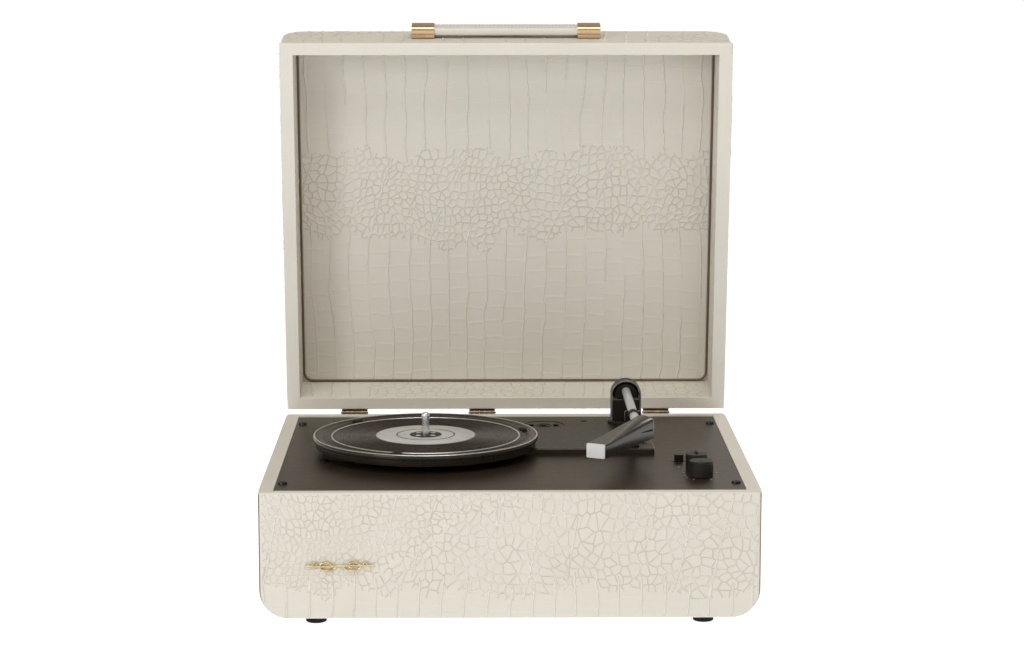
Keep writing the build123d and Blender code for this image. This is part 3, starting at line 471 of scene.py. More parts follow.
def wrapped_shell(name, case, height, far_wall, inner_radius, y_first, y_last, relief, step):
    """The bent part of a case: an outer skin with relief, a rim and smooth inner walls."""
    outer, normals, run = outline_path(height, CORNER, step, RIM_DROP)
    half = WIDTH / 2 - SIDE_WALL
    reach = height - far_wall
    turn_x, turn_z = half - inner_radius, reach - inner_radius
    right = [
        (turn_x + inner_radius * math.cos(angle), turn_z + inner_radius * math.sin(angle))
        for angle in np.linspace(0, math.pi / 2, 7)
    ]
    left = [(-x, z) for x, z in reversed(right)]
    inner = np.array([(half, RIM_DROP), *right, *left, (-half, RIM_DROP)])
    profile = np.concatenate([outer, inner])
    normal = np.concatenate([normals, np.zeros((len(inner), 2))])
    s = np.concatenate([run, np.zeros(len(inner))])
    skin = np.concatenate([np.ones(len(outer)), np.zeros(len(inner))])
    ys = y_first + graded(y_last - y_first, step)
    end = np.minimum(ys - y_first, y_last - ys)
    grid_s, grid_y = np.meshgrid(s, ys)
    bumps = relief(grid_s, grid_y) * skin[None, :] * smooth(end / 3)[:, None]
    near_rim = np.minimum(run, run[-1] - run)
    fade = np.concatenate([smooth(near_rim / 3), np.zeros(len(inner))])
    bumps = bumps * fade[None, :]
    lift = bumps - RIDGE * skin[None, :] - (edge_drop(end, 1.6)[:, None] * skin[None, :])
    x = profile[:, 0][None, :] + lift * normal[:, 0][None, :]
    z = profile[:, 1][None, :] + lift * normal[:, 1][None, :]
    y = np.repeat(ys[:, None], len(profile), axis=1)
    points = case.at(x, y, case.side * z).reshape(-1, 3)
    n_rows, n_columns = x.shape
    faces = quads(n_rows, n_columns, wrap_columns=True).tolist()
    caps = [list(range(n_columns)), list(range((n_rows - 1) * n_columns, n_rows * n_columns))[::-1]]
    return make_object(name, points, faces + caps, bumps.reshape(-1))


def rim_frame(name, case, outer, inner):
    """Four mitred strips on a rim; outer and inner are half width, first y and last y."""
    outer_corners, inner_corners = (
        np.array([(-half, first), (half, first), (half, last), (-half, last)])
        for half, first, last in (outer, inner)
    )
    points, faces, tints = [], [], []
    offset = 0
    for k in range(4):
        a, b = outer_corners[k], outer_corners[(k + 1) % 4]
        c, d = inner_corners[k], inner_corners[(k + 1) % 4]
        length = np.linalg.norm(b - a)
        depth = abs(np.cross(b - a, c - a)) / length
        t = graded(length, 1.6) / length
        u = graded(depth, 1.0, 1.6) / depth
        first = a[None, :] + (c - a)[None, :] * u[:, None]
        last = b[None, :] + (d - b)[None, :] * u[:, None]
        place_xy = first[:, None, :] + (last - first)[:, None, :] * t[None, :, None]
        x, y = place_xy[..., 0], place_xy[..., 1]
        end = np.minimum(t, 1 - t)[None, :] * length
        across = np.minimum(u, 1 - u)[:, None] * depth + 0 * x
        bumps = rim_relief(x, y) * smooth(across / 2.5) * smooth(end / 4)
        mitre = 0.35 * (1 - smooth(end / 0.9))
        drop = RIDGE + RIM_CLEARANCE - bumps + edge_drop(across, 1.3) * 0.55 + mitre
        top = case.at(x, y, case.side * drop)
        under = case.at(x, y, case.side * RIM_UNDERSIDE + 0 * x)
        n_rows, n_columns = x.shape
        sheet = quads(n_rows, n_columns) + offset
        count = n_rows * n_columns
        points += [top.reshape(-1, 3), under.reshape(-1, 3)]
        tints += [bumps.reshape(-1), np.zeros(count)]
        faces += sheet.tolist() + (sheet[:, ::-1] + count).tolist() + open_walls(sheet, count)
        offset += 2 * count
    return make_object(name, np.concatenate(points), faces, np.concatenate(tints))


def revolve(name, centre, profile, segments=192):
    """A ring turned about the vertical through centre; the profile is (radius, height)."""
    radius, height = np.array(profile, float).T
    angles = full_turn(segments)
    x = centre[0] + radius[None, :] * np.cos(angles)[:, None]
    y = centre[1] + radius[None, :] * np.sin(angles)[:, None]
    z = np.repeat(height[None, :], segments, axis=0)
    count = len(radius)
    i, j = np.meshgrid(np.arange(segments), np.arange(count), indexing="ij")
    up, right = (j + 1) % count, (i + 1) % segments
    faces = np.stack([i * count + j, right * count + j, right * count + up, i * count + up], -1)
    return make_object(name, base.at(x, y, z).reshape(-1, 3), faces.reshape(-1, 4).tolist())


def loft(name, sections, cap=True):
    """A closed skin through sections of equal length, each an array of points in the shared frame."""
    sections = np.array(sections)
    rows, columns = sections.shape[:2]
    faces = quads(rows, columns, wrap_columns=True).tolist()
    if cap:
        faces.append(list(range(columns)))
        faces.append(list(range((rows - 1) * columns, rows * columns))[::-1])
    return make_object(name, sections.reshape(-1, 3), faces)


def tube(name, path, radius, closed=False, sides=12):
    """A round wire of that radius, in mm, along a path of points in the shared frame."""
    path = np.array(path)
    ahead = np.roll(path, -1, axis=0) - np.roll(path, 1, axis=0)
    if not closed:
        ahead[0], ahead[-1] = path[1] - path[0], path[-1] - path[-2]
    ahead /= np.linalg.norm(ahead, axis=1)[:, None]
    normal = np.cross(ahead[0], (0.3, 0.5, 0.81))
    sections = []
    angles = full_turn(sides)[:, None]
    for point, way in zip(path, ahead):
        normal = normal - way * np.dot(normal, way)
        normal /= np.linalg.norm(normal)
        side = np.cross(way, normal)
        sections.append(point + MM * radius * (np.cos(angles) * normal + np.sin(angles) * side))
    if closed:
        sections.append(sections[0])
    piece = loft(name, sections, cap=not closed)
    if closed:
        edit_mesh(piece, merge_close)
    return piece


# ---- Materials ----


WARM = (1.0, 0.86, 0.70)


class Shader:
    """A node material with a Principled shader and small helpers for its texture nodes."""

    def __init__(self, name, roughness=0.5, metallic=0.0, coat=0.0, specular=0.5, tint=(1, 1, 1)):
        self.material = bpy.data.materials.new(name)
        self.material.use_nodes = True
        self.tree = self.material.node_tree
        self.shader = next(n for n in self.tree.nodes if n.type == "BSDF_PRINCIPLED")
        self.shader.inputs["Roughness"].default_value = roughness
        self.shader.inputs["Metallic"].default_value = metallic
        self.shader.inputs["Coat Weight"].default_value = coat
        self.shader.inputs["Specular IOR Level"].default_value = specular
        self.shader.inputs["Specular Tint"].default_value = (*tint, 1)
        self.place = self.add("ShaderNodeTexCoord").outputs["Object"]

    def add(self, kind, **values):
        node = self.tree.nodes.new(kind)
        for key, value in values.items():
            setattr(node, key, value)
        return node

    def link(self, output, target):
        self.tree.links.new(output, target)

    def noise(self, scale, detail=3.0, stretch=None):
        node = self.add("ShaderNodeTexNoise")
        node.inputs["Scale"].default_value = scale
        node.inputs["Detail"].default_value = detail
        source = self.place
        if stretch:
            mapping = self.add("ShaderNodeMapping")
            mapping.inputs["Scale"].default_value = stretch
            self.link(source, mapping.inputs["Vector"])
            source = mapping.outputs["Vector"]
        self.link(source, node.inputs["Vector"])
        return node.outputs["Fac"]

    def ramp(self, source, stops):
        node = self.add("ShaderNodeValToRGB")
        elements = node.color_ramp.elements
        while len(elements) < len(stops):
            elements.new(0.5)
        for element, (position, colour) in zip(elements, stops):
            element.position = position
            element.color = (*colour, 1)
        self.link(source, node.inputs["Fac"])
        return node.outputs["Color"]

    def mix(self, factor, first, second, blend="MIX"):
        node = self.add("ShaderNodeMix", data_type="RGBA", blend_type=blend)
        for socket, value in ((0, factor), (6, first), (7, second)):
            if isinstance(value, (int, float)):
                node.inputs[socket].default_value = value
            elif isinstance(value, tuple):
                node.inputs[socket].default_value = (*value, 1)
            else:
                self.link(value, node.inputs[socket])
        return node.outputs[2]

    def colour(self, output):
        self.link(output, self.shader.inputs["Base Color"])

    def roughness(self, source, low, high):
        node = self.add("ShaderNodeMapRange")
        node.inputs["To Min"].default_value = low
        node.inputs["To Max"].default_value = high
        self.link(source, node.inputs["Value"])
        self.link(node.outputs["Result"], self.shader.inputs["Roughness"])

    def bump(self, source, strength, distance):
        node = self.add("ShaderNodeBump")
        node.inputs["Strength"].default_value = strength
        node.inputs["Distance"].default_value = distance
        self.link(source, node.inputs["Height"])
        self.link(node.outputs["Normal"], self.shader.inputs["Normal"])


# The darker colour multiplied onto the ridges' flanks: painted shade.
RIDGE_FLANK_SHADE = (0.76, 0.735, 0.70)


def vinyl_material(name, base_colour, ridge_highlight_colour, dirt_colour, pores=1.0):
    """Embossed leatherette: a mottled ground and fine pores, with ridge tops painted lighter as a painted
    highlight and a band on the ridges' flanks painted darker as painted shade.
    """
    made = Shader(name, roughness=0.5, specular=0.38)
    mottle = made.ramp(made.noise(22, 6), [(0.30, dirt_colour), (0.70, base_colour)])
    height = made.add("ShaderNodeAttribute", attribute_name="relief").outputs["Fac"]
    ridge = made.add("ShaderNodeMapRange")
    ridge.inputs["From Min"].default_value = 0.02
    ridge.inputs["From Max"].default_value = RIDGE
    made.link(height, ridge.inputs["Value"])
    # Painted highlight: the ridge tops are tinted lighter than the ground, by relief height.
    ground_with_ridge_highlight = made.mix(ridge.outputs["Result"], mottle, ridge_highlight_colour)
    clear = (1.0, 1.0, 1.0)
    # Painted shade: a band partway up each ridge's flanks is multiplied darker.
    stops = [(0.24, clear), (0.34, RIDGE_FLANK_SHADE), (0.50, RIDGE_FLANK_SHADE), (0.64, clear)]
    flank_shade = made.ramp(ridge.outputs["Result"], stops)
    made.colour(made.mix(1.0, ground_with_ridge_highlight, flank_shade, "MULTIPLY"))
    made.roughness(made.noise(160, 4), 0.42, 0.6)
    made.bump(made.noise(1700, 3), 0.16 * pores, 0.0004)
    return made.material


def plastic_material(name, dark, light, roughness, scale=1400.0, bump=0.12, coat=0.0, specular=0.2):
    """Moulded plastic with a fine spark-eroded texture and slight colour drift."""
    made = Shader(name, roughness=roughness, coat=coat, specular=specular, tint=WARM)
    made.colour(made.ramp(made.noise(60, 4), [(0.3, dark), (0.7, light)]))
    made.roughness(made.noise(220, 3), roughness * 0.85, min(1.0, roughness * 1.2))
    made.bump(made.noise(scale, 2), bump, 0.0002)
    return made.material


def metal_material(name, dark, light, roughness, stretch=(1, 1, 1), bump=0.05):
    """Bare or plated metal; stretch draws the noise out into brush marks."""
    made = Shader(name, roughness=roughness, metallic=1.0)
    made.colour(made.ramp(made.noise(160, 4, stretch), [(0.3, dark), (0.75, light)]))
    made.roughness(made.noise(420, 3, stretch), roughness * 0.75, roughness * 1.3)
    made.bump(made.noise(900, 2, stretch), bump, 0.0001)
    return made.material


def deck_material():
    """Brown-black satin paint on the steel deck, with fine orange peel and faint dust."""
    made = Shader("deck_paint", roughness=0.42, specular=0.46, tint=WARM)
    stops = [(0.3, (0.019, 0.0125, 0.007)), (0.7, (0.027, 0.018, 0.011))]
    ground = made.ramp(made.noise(30, 5), stops)
    dust = made.ramp(made.noise(900, 2), [(0.62, (0, 0, 0)), (0.80, (0.05, 0.045, 0.04))])
    made.colour(made.mix(0.35, ground, dust, "ADD"))
    made.roughness(made.noise(120, 4), 0.34, 0.42)
    made.bump(made.noise(1500, 2), 0.12, 0.0002)
    return made.material


def wood_material():
    made = Shader("fibreboard", roughness=0.85)
    stops = [(0.3, (0.20, 0.13, 0.08)), (0.7, (0.34, 0.24, 0.15))]
    made.colour(made.ramp(made.noise(420, 5, (1, 1, 0.3)), stops))
    made.bump(made.noise(900, 4), 0.3, 0.0005)
    return made.material


SEAM = vinyl_material("seam_vinyl", (0.17, 0.11, 0.07), (0.20, 0.13, 0.085), (0.12, 0.075, 0.045))
PLATE = plastic_material(
    "plate_plastic", (0.016, 0.012, 0.008), (0.024, 0.018, 0.012), 0.40, specular=0.42
)
KNOB = plastic_material("knob_plastic", (0.016, 0.015, 0.014), (0.030, 0.028, 0.025), 0.48)
GOLD = metal_material("gold_brass", (0.56, 0.44, 0.21), (0.78, 0.64, 0.36), 0.25, (1, 1, 1), 0.1)
PRINT = plastic_material("pale_print", (0.52, 0.50, 0.46), (0.66, 0.64, 0.60), 0.5)
RING = metal_material("bright_ring", (0.70, 0.70, 0.71), (0.88, 0.88, 0.88), 0.3)
# Lighter grey than the hood's black plastic: a painted highlight along the hood's bevelled front edge.
HOOD_RIM_HIGHLIGHT = plastic_material(
    "hood_rim_highlight", (0.10, 0.10, 0.10), (0.16, 0.16, 0.16), 0.22, specular=0.7, coat=0.5
)
# Painted shade: brass hinge metal darkened to the dark brown it shows in the shade behind the lid.
HINGE_BRASS_SHADED = metal_material("hinge_brass_shaded", (0.16, 0.11, 0.07), (0.30, 0.22, 0.15), 0.35)

SLOT_MATERIAL = {
    "vinyl": vinyl_material(
        "cream_vinyl", (0.672, 0.640, 0.566), (0.73, 0.705, 0.64), (0.650, 0.617, 0.540)
    ),
    "strap_vinyl": vinyl_material(
        "strap_vinyl", (0.675, 0.648, 0.585), (0.72, 0.70, 0.645), (0.655, 0.626, 0.560), 0.8
    ),
    "board": wood_material(),
    "deck_paint": deck_material(),
    "black_plastic": plastic_material(
        "black_plastic", (0.009, 0.008, 0.007), (0.016, 0.014, 0.012), 0.36
    ),
    "gloss_black": plastic_material(
        "gloss_black", (0.012, 0.011, 0.010), (0.020, 0.018, 0.016), 0.17, bump=0.03, specular=0.45
    ),
    "platter_plastic": plastic_material(
        "platter_plastic", (0.020, 0.016, 0.012), (0.032, 0.026, 0.020), 0.28, specular=0.4
    ),
    "label_grey": plastic_material("label_grey", (0.46, 0.455, 0.44), (0.56, 0.555, 0.54), 0.45),
    "cartridge_white": plastic_material("cartridge_white", (0.66, 0.66, 0.65), (0.76, 0.76, 0.75), 0.35),
    "stylus_red": plastic_material("stylus_red", (0.32, 0.02, 0.02), (0.45, 0.04, 0.03), 0.3),
    "chrome": metal_material("chrome", (0.80, 0.80, 0.80), (0.92, 0.92, 0.92), 0.2),
    "steel": metal_material("steel", (0.42, 0.42, 0.41), (0.62, 0.62, 0.60), 0.32, (1, 8, 1)),
    "silver_tube": plastic_material(
        "silver_tube", (0.46, 0.46, 0.47), (0.56, 0.56, 0.57), 0.3, specular=0.8, coat=0.4
    ),
    "brass": metal_material(
        "rose_brass", (0.50, 0.345, 0.20), (0.66, 0.47, 0.285), 0.26, (0.2, 4, 4), 0.12
    ),
    "black_screw": metal_material("black_screw", (0.02, 0.02, 0.02), (0.05, 0.05, 0.05), 0.4),
    "rubber": plastic_material(
        "rubber", (0.01, 0.01, 0.01), (0.02, 0.02, 0.02), 0.75, scale=700, bump=0.3
    ),
    "paper_cone": plastic_material(
        "paper_cone", (0.02, 0.02, 0.02), (0.05, 0.05, 0.05), 0.85, scale=500, bump=0.5
    ),
    "board_green": plastic_material(
        "board_green", (0.02, 0.10, 0.04), (0.04, 0.16, 0.07), 0.4, scale=300
    ),
}


def paint_nodes():
    """Every carried-over CAD node gets the material of its slot."""
    for part in frame["record"]["subparts"]:
        node = frame["nodes"][part["node"]]
        node.data.materials.clear()
        node.data.materials.append(SLOT_MATERIAL[part["material_slot"]])
        node.data.shade_smooth()
        node.data.set_sharp_from_angle(angle=math.radians(32))


# ---- The case ----


def rear_hole(x, h):
    """The cut-outs of the base's rear board, under the grilles and the connector panel."""
    overlap = 4
    speaker_low, speaker_high = local_box("speaker_grilles")
    panel_low, panel_high = local_box("connector_panel")
    reach = (speaker_high[2] - speaker_low[2]) / 2 - overlap
    speaker_x = speaker_high[0] - reach - overlap
    half_wide = panel_high[0] - overlap
    half_tall = (panel_high[2] - panel_low[2]) / 2 - 3
    z = -(h + RIM_DROP)
    round_hole = np.hypot(np.abs(x) - speaker_x, z - (speaker_low[2] + speaker_high[2]) / 2) < reach
    panel_away = np.abs(z - (panel_low[2] + panel_high[2]) / 2)
    return round_hole | ((np.abs(x) < half_wide) & (panel_away < half_tall))


def make_boards():
    """The four end boards of the base and the lid."""
    boards = (
        ("base_front", base, 0, BASE_HEIGHT, FRONT_BOARD, front_relief, 0.56, None),
        ("base_rear", base, DEPTH, BASE_HEIGHT, REAR_BOARD, side_relief(51), 1.2, rear_hole),
        ("lid_front", lid, 0, LID_HEIGHT, LID_BOARD, side_relief(54), 0.9, None),
        ("lid_rear", lid, DEPTH, LID_HEIGHT, LID_BOARD, side_relief(57), 1.2, None),
    )
    for name, case, y, height, thickness, relief, step, hole in boards:
        board = plate(
            name + "_vinyl", case.at(0, y, case.side * RIM_DROP), case.side * case.up,
            case.back if y else -case.back, WIDTH - 2 * REVEAL, height - REVEAL - RIM_DROP,
            (0, CORNER - REVEAL), thickness, relief, step, hole=hole,
        )
        finish_piece(board, case.name, "vinyl", name + "_board")


def make_shells():
    """The bent sides of the base and the lid, and the lid's lining."""
    body = wrapped_shell(
        "base_shell_vinyl", base, BASE_HEIGHT, BASE_FLOOR, CORNER - SIDE_WALL,
        FRONT_BOARD, DEPTH - REAR_BOARD, side_relief(61), SHELL_STEP,
    )
    finish_piece(body, "base", "vinyl", "base_shell")
    cover = wrapped_shell(
        "lid_shell_vinyl", lid, LID_HEIGHT, LID_ROOF, 1.5,
        LID_BOARD, DEPTH - LID_BOARD, side_relief(64), SHELL_STEP,
    )
    finish_piece(cover, "lid", "vinyl", "lid_shell")
    lining = plate(
        "lid_lining_vinyl", lid.at(0, LID_BOARD + LINING_INSET, LINING_Z), lid.back, -lid.up,
        WIDTH - 2 * SIDE_WALL - 2 * LINING_INSET, DEPTH - 2 * LID_BOARD - 2 * LINING_INSET,
        (8, 8), 3.0, lining_relief, 0.60, edge=1.2,
    )
    finish_piece(lining, "lid", "vinyl", "lid_lining")


def make_lid_walls():
    """The covered inner walls of the lid, between the rim and the lining."""
    reach = LINING_Z - 1.6
    wide = WIDTH - 2 * SIDE_WALL - 1.0
    deep = DEPTH - 2 * LID_BOARD - 1.0
    middle = DEPTH / 2
    walls = (
        ("lid_wall_bottom", (0, DEPTH - LID_BOARD - 0.9), -lid.back, wide, lid.across, 81),
        ("lid_wall_top", (0, LID_BOARD + 0.9), lid.back, wide, lid.across, 84),
        ("lid_wall_left", (-WIDTH / 2 + SIDE_WALL + 0.9, middle), lid.across, deep, lid.back, 87),
        ("lid_wall_right", (WIDTH / 2 - SIDE_WALL - 0.9, middle), -lid.across, deep, lid.back, 90),
    )
    for name, (x, y), outward, length, across, seed in walls:
        wall = plate(
            name, lid.at(x, y, 1.4), lid.up, outward, length, reach, (0, 0), 0.8,
            side_relief(seed), 0.95, edge=0.5, across=across,
        )
        finish_piece(wall, "lid", "vinyl")


def make_rims():
    """The vinyl turned over the rims, mitred at the corners."""
    outer = (WIDTH / 2 - 0.9, 0.9, DEPTH - 0.9)
    lid_inner = (WIDTH / 2 - SIDE_WALL - 0.4, LID_BOARD + 0.4, DEPTH - LID_BOARD - 0.4)
    base_inner = (WIDTH / 2 - SIDE_WALL, FRONT_BOARD, DEPTH - REAR_BOARD)
    for case, inner in ((lid, lid_inner), (base, base_inner)):
        rim = rim_frame(case.name + "_rim_vinyl", case, outer, inner)
        finish_piece(rim, case.name, "vinyl")


def board_outline(case, y, height, inset, start):
    """Points round a board's edge from one rim to the other."""
    half = WIDTH / 2 - inset
    tall = height - inset
    radius = CORNER - inset
    turns = np.linspace(0, math.pi / 2, 16, endpoint=False)
    points = [(-half, z) for z in np.linspace(start, tall - radius, 20, endpoint=False)]
    for t in turns:
        points.append((-half + radius - radius * math.cos(t), tall - radius + radius * math.sin(t)))
    points += [(x, tall) for x in np.linspace(-half + radius, half - radius, 40, endpoint=False)]
    for t in turns:
        points.append((half - radius + radius * math.sin(t), tall - radius + radius * math.cos(t)))
    points += [(half, z) for z in np.linspace(tall - radius, start, 20)]
    return [case.at(x, y, case.side * z) for x, z in points]


def make_seams():
    """The dark seam where each end board meets the bent sides, and round the lining."""
    proud = 0.6
    seams = (
        ("base_front_seam", base, FRONT_BOARD - proud, BASE_HEIGHT),
        ("base_rear_seam", base, DEPTH - REAR_BOARD + proud, BASE_HEIGHT),
        ("lid_front_seam", lid, LID_BOARD - proud, LID_HEIGHT),
        ("lid_rear_seam", lid, DEPTH - LID_BOARD + proud, LID_HEIGHT),
    )
    for name, case, y, height in seams:
        seam = tube(name, board_outline(case, y, height, REVEAL - 0.65, 1.8), 0.75)
        finish_piece(seam, case.name, "vinyl", material=SEAM)
    gap, radius = 1.2, 8.5
    right = WIDTH / 2 - SIDE_WALL - gap - radius
    near, far = LID_BOARD + gap + radius, DEPTH - LID_BOARD - gap - radius
    corners = (
        (right, near, -math.pi / 2), (right, far, 0), (-right, far, math.pi / 2), (-right, near, math.pi),
    )
    path = []
    for x, y, first in corners:
        for t in first + np.linspace(0, math.pi / 2, 12):
            path.append(lid.at(x + radius * math.cos(t), y + radius * math.sin(t), LINING_Z + 0.6))
    finish_piece(tube("lid_lining_gap", path, 0.7, closed=True), "lid", "vinyl", material=SEAM)


def strap_swell(x, low, high):
    """How thick the strap is at x, against its full thickness, and how far x is from its ends."""
    end = min(x - low[0], high[0] - x)
    return 0.90 + 0.10 * float(smooth(end / 26)), end


def make_strap():
    """The carrying strap: a padded band, thinner at its ends, with a channel near each edge."""
    inverse = np.array([lid.across, lid.back, lid.up])
    node = frame["nodes"]["handle_strap"]
    corners = np.array([v.co for v in node.data.vertices]) - lid.origin
    local = corners @ inverse.T / MM
    low, high = local.min(axis=0), local.max(axis=0)
    middle = (low + high) / 2
    half_thick, half_wide = (high[1] - low[1]) / 2, (high[2] - low[2]) / 2
    sections = []
    angles = full_turn(72)
    c, s = np.cos(angles), np.sin(angles)
    for x in low[0] + graded(high[0] - low[0], 1.4):
        swell, end = strap_swell(x, low, high)
        swell -= 0.01 * math.sin(x * 0.21)
        wide = half_wide * (0.96 + 0.04 * float(smooth(end / 9)))
        across = np.sign(c) * np.abs(c) ** 0.42 * wide
        thick = np.sign(s) * np.abs(s) ** 0.62 * half_thick * swell
        channel = 0.45 * np.exp(-(((np.abs(across) - half_wide + STITCH_INSET) / 0.55) ** 2))
        thick = thick - np.sign(thick) * channel
        sections.append(lid.at(x, middle[1] + thick, middle[2] + across))
    strap = loft("handle_strap_padded", sections)
    finish_piece(strap, "handle", "strap_vinyl", "handle_strap")
    return middle, half_thick, half_wide, low, high


def make_stitches(middle, half_thick, half_wide, low, high):
    """A row of stitches in each channel, on the strap's outer face."""
    pitch, length, sides = 3.4, 2.3, 6
    places = np.linspace(-1, 1, 7)
    angles = full_turn(sides)
    ring = np.arange(sides)
    points, faces = [], []
    for side in (-1, 1):
        for k in range(int((high[0] - low[0] - 8) / pitch)):
            x = low[0] + 4 + (k + 0.5) * pitch
            y = middle[1] - half_thick * strap_swell(x, low, high)[0] * 0.86
            z = middle[2] + side * (half_wide - STITCH_INSET)
            start = sides * len(points)
            for t in places:
                lift = 0.32 * math.cos(t * math.pi / 2)
                width = 0.30 * math.sqrt(max(1 - t * t, 0.02))
                around = y - lift - width * np.sin(angles), z + width * np.cos(angles)
                points.append(lid.at(x + t * length / 2 + 0 * angles, *around))
            faces += (start + quads(len(places), sides, wrap_columns=True)).tolist()
            faces += [(start + ring).tolist(), (start + sides * (len(places) - 1) + ring[::-1]).tolist()]
    stitches = make_object("handle_stitches", np.concatenate(points), faces)
    finish_piece(stitches, "handle", "strap_vinyl")


# ---- Platter and label ----


def make_platter():
    """The platter with its lip, fine grooves and two bright rings."""
    centre = centre_of("spindle")
    radius = size_mm("platter").x / 2
    top = top_of("platter")
    face = top - 1.4
    skirt = radius - 2.2
    bottom = local_box("platter")[0][2]
    profile = [(3.8, face - 2.4), (3.8, face - 0.3), (4.1, face)]
    inner_edge, groove_end = 44.6, radius - 6.4
    profile.append((inner_edge, face))
    steps = int((groove_end - inner_edge) / 0.85)
    for k in range(steps):
        r = inner_edge + 0.4 + (groove_end - inner_edge - 0.8) * k / steps
        deep = 0.62 if k % 2 else 0.0
        broad = 0.14 * math.sin(k * 0.42) + 0.08 * math.sin(k * 0.13)
        profile.append((r, face - deep - 0.18 + broad))
    profile += [
        (groove_end, face - 0.1), (radius - 5.6, face + 0.1), (radius - 4.8, top - 0.5),
        (radius - 4.2, top - 0.1), (radius - 3.4, top), (radius - 1.4, top - 0.1),
        (radius - 0.5, top - 0.6), (radius, top - 1.3), (radius, top - 4.2), (radius - 0.5, top - 4.8),
        (skirt, top - 5.0), (skirt, bottom + 0.5), (skirt - 0.5, bottom), (skirt - 1.9, bottom),
        (skirt - 2.4, bottom + 0.4), (skirt - 2.4, face - 3.2), (skirt - 3.2, face - 2.4),
    ]
    platter = revolve("platter_disc", centre, profile, 240)
    finish_piece(platter, "turntable", "platter_plastic", "platter")
    bright, width = [], 1.5
    for ring_radius, ring_top in ((radius - 0.9, top + 0.02), (0.835 * radius, face + 0.45)):
        ring = [
            (ring_radius + width / 2 * math.cos(t), ring_top + width * 0.28 * (math.sin(t) - 1))
            for t in full_turn(10)
        ]
        bright.append(revolve("ring", centre, ring, 240))
    finish_piece(join("platter_bright_rings", bright), "turntable", "platter_plastic", material=RING)
    return centre, face


def join(name, pieces):
    """Several meshes become one piece."""
    work = bmesh.new()
    for piece in pieces:
        work.from_mesh(piece.data)
    work.to_mesh(pieces[0].data)
    work.free()
    for piece in pieces[1:]:
        bpy.data.objects.remove(piece)
    pieces[0].name = name
    pieces[0].data.name = name
    return pieces[0]


def disc_profile(radius, low, high, hole=3.8, bevel=0.2):
    return [
        (hole, low), (hole, high - bevel), (hole + bevel, high),
        (radius - bevel, high), (radius, high - bevel), (radius, low),
    ]


def make_label(centre, face):
    """The pale label disc, the thin dark ring on it and the dark hub with its petals."""
    top = top_of("platter_label")
    radius = size_mm("platter_label").x / 2
    label = revolve("label_disc", centre, disc_profile(radius, face, top), 160)
    finish_piece(label, "turntable", "label_grey", "platter_label")
    ring = [(25.0, top - 0.05), (25.0, top + 0.12), (26.1, top + 0.12), (26.1, top - 0.05)]
    hub = disc_profile(14.2, top - 0.05, top + 0.35, hole=3.75)
    printed = join("label_hub", [revolve("ring", centre, ring, 120), revolve("hub", centre, hub, 96)])
    finish_piece(printed, "turntable", "black_plastic", material=KNOB)
    petals = []
    for k in range(4):
        angle = math.pi / 4 + k * math.pi / 2
        spot = (centre[0] + 9.3 * math.cos(angle), centre[1] + 9.3 * math.sin(angle))
        petals.append(revolve("petal", spot, disc_profile(2.3, top + 0.2, top + 0.5, hole=0.4), 28))
    finish_piece(join("label_petals", petals), "turntable", "label_grey")


# ---- Tonearm ----


def make_headshell():
    """The tapered headshell: a flat panel that a rounded crest overtakes towards the heel."""
    heel, tip = np.array((118.5, 134.0)), np.array((73.3, 52.0))
    ahead = (tip - heel) / np.linalg.norm(tip - heel)
    side = np.array((-ahead[1], ahead[0]))
    length = np.linalg.norm(tip - heel)

    def half_width(run):
        return 10.6 - 2.1 * run / length

    def place(run, across, z):
        spot = heel + ahead * run + side * across
        return base.at(spot[0], spot[1], z)

    sections = []
    rounding = 2.1
    near, end = (0, 0.25, 0.7, 1.3, rounding), (length - 0.5, length - 0.1)
    for run in np.concatenate([near, np.linspace(3.2, length - 1.2, 36), end]):
        t = run / length
        round_end = math.sqrt(max(0.0, 1 - (max(0.0, rounding - run) / rounding) ** 2))
        half = half_width(run) * (0.90 + 0.10 * round_end)
        panel = 34.8 - 5.0 * t - 1.6 * (1 - round_end)
        low = 19.6 - 2.0 * t + 1.6 * (1 - round_end)
        crest_start = -1.15 + 1.95 * t**0.75
        crest = 5.0 * (1 - smooth(t * 1.02)) + 0.25
        ring = []
        for across in np.linspace(-0.95, 0.93, 27):
            share = np.clip((across - crest_start) / (1.0 - crest_start), 0, 1)
            rise = crest * math.sin(math.pi * (0.88 * share + 0.01)) ** 0.7
            ring.append((across, panel + rise - 0.5 * (across + 0.95)))
        last = ring[-1][1]
        for across, share in ((0.975, 0.10), (0.995, 0.22), (1.0, 0.45), (0.985, 0.75), (0.965, 0.97)):
            ring.append((across, last - 0.25 + (low - last) * share))
        ring += [(0.90, low), (0.3, low), (-0.3, low), (-0.88, low), (-0.96, low + 0.8)]
        ring += [(-1.0, (low + panel) / 2), (-0.99, panel - 0.7)]
        sections.append([place(run, half * across, z) for across, z in ring])
    shell = loft("headshell_body", sections)
    finish_piece(shell, "arm", "gloss_black", "headshell")
    slot = []
    for run, tall in ((-0.15, 0.3), (0.0, 0.95), (6.0, 0.9), (14.0, 0.7), (21.0, 0.4), (26.0, 0.08)):
        half = half_width(run) * (0.99 if run > 0.5 else 0.93)
        middle = 27.4 + 0.05 * run
        ring = ((-0.8, -1), (0.30, -1), (0.42, 0), (0.30, 1), (-0.8, 1))
        slot.append([place(run, half + outward, middle + up * tall) for outward, up in ring])
    finish_piece(loft("headshell_slot", slot), "arm", "black_plastic", material=SLOT_MATERIAL["rubber"])


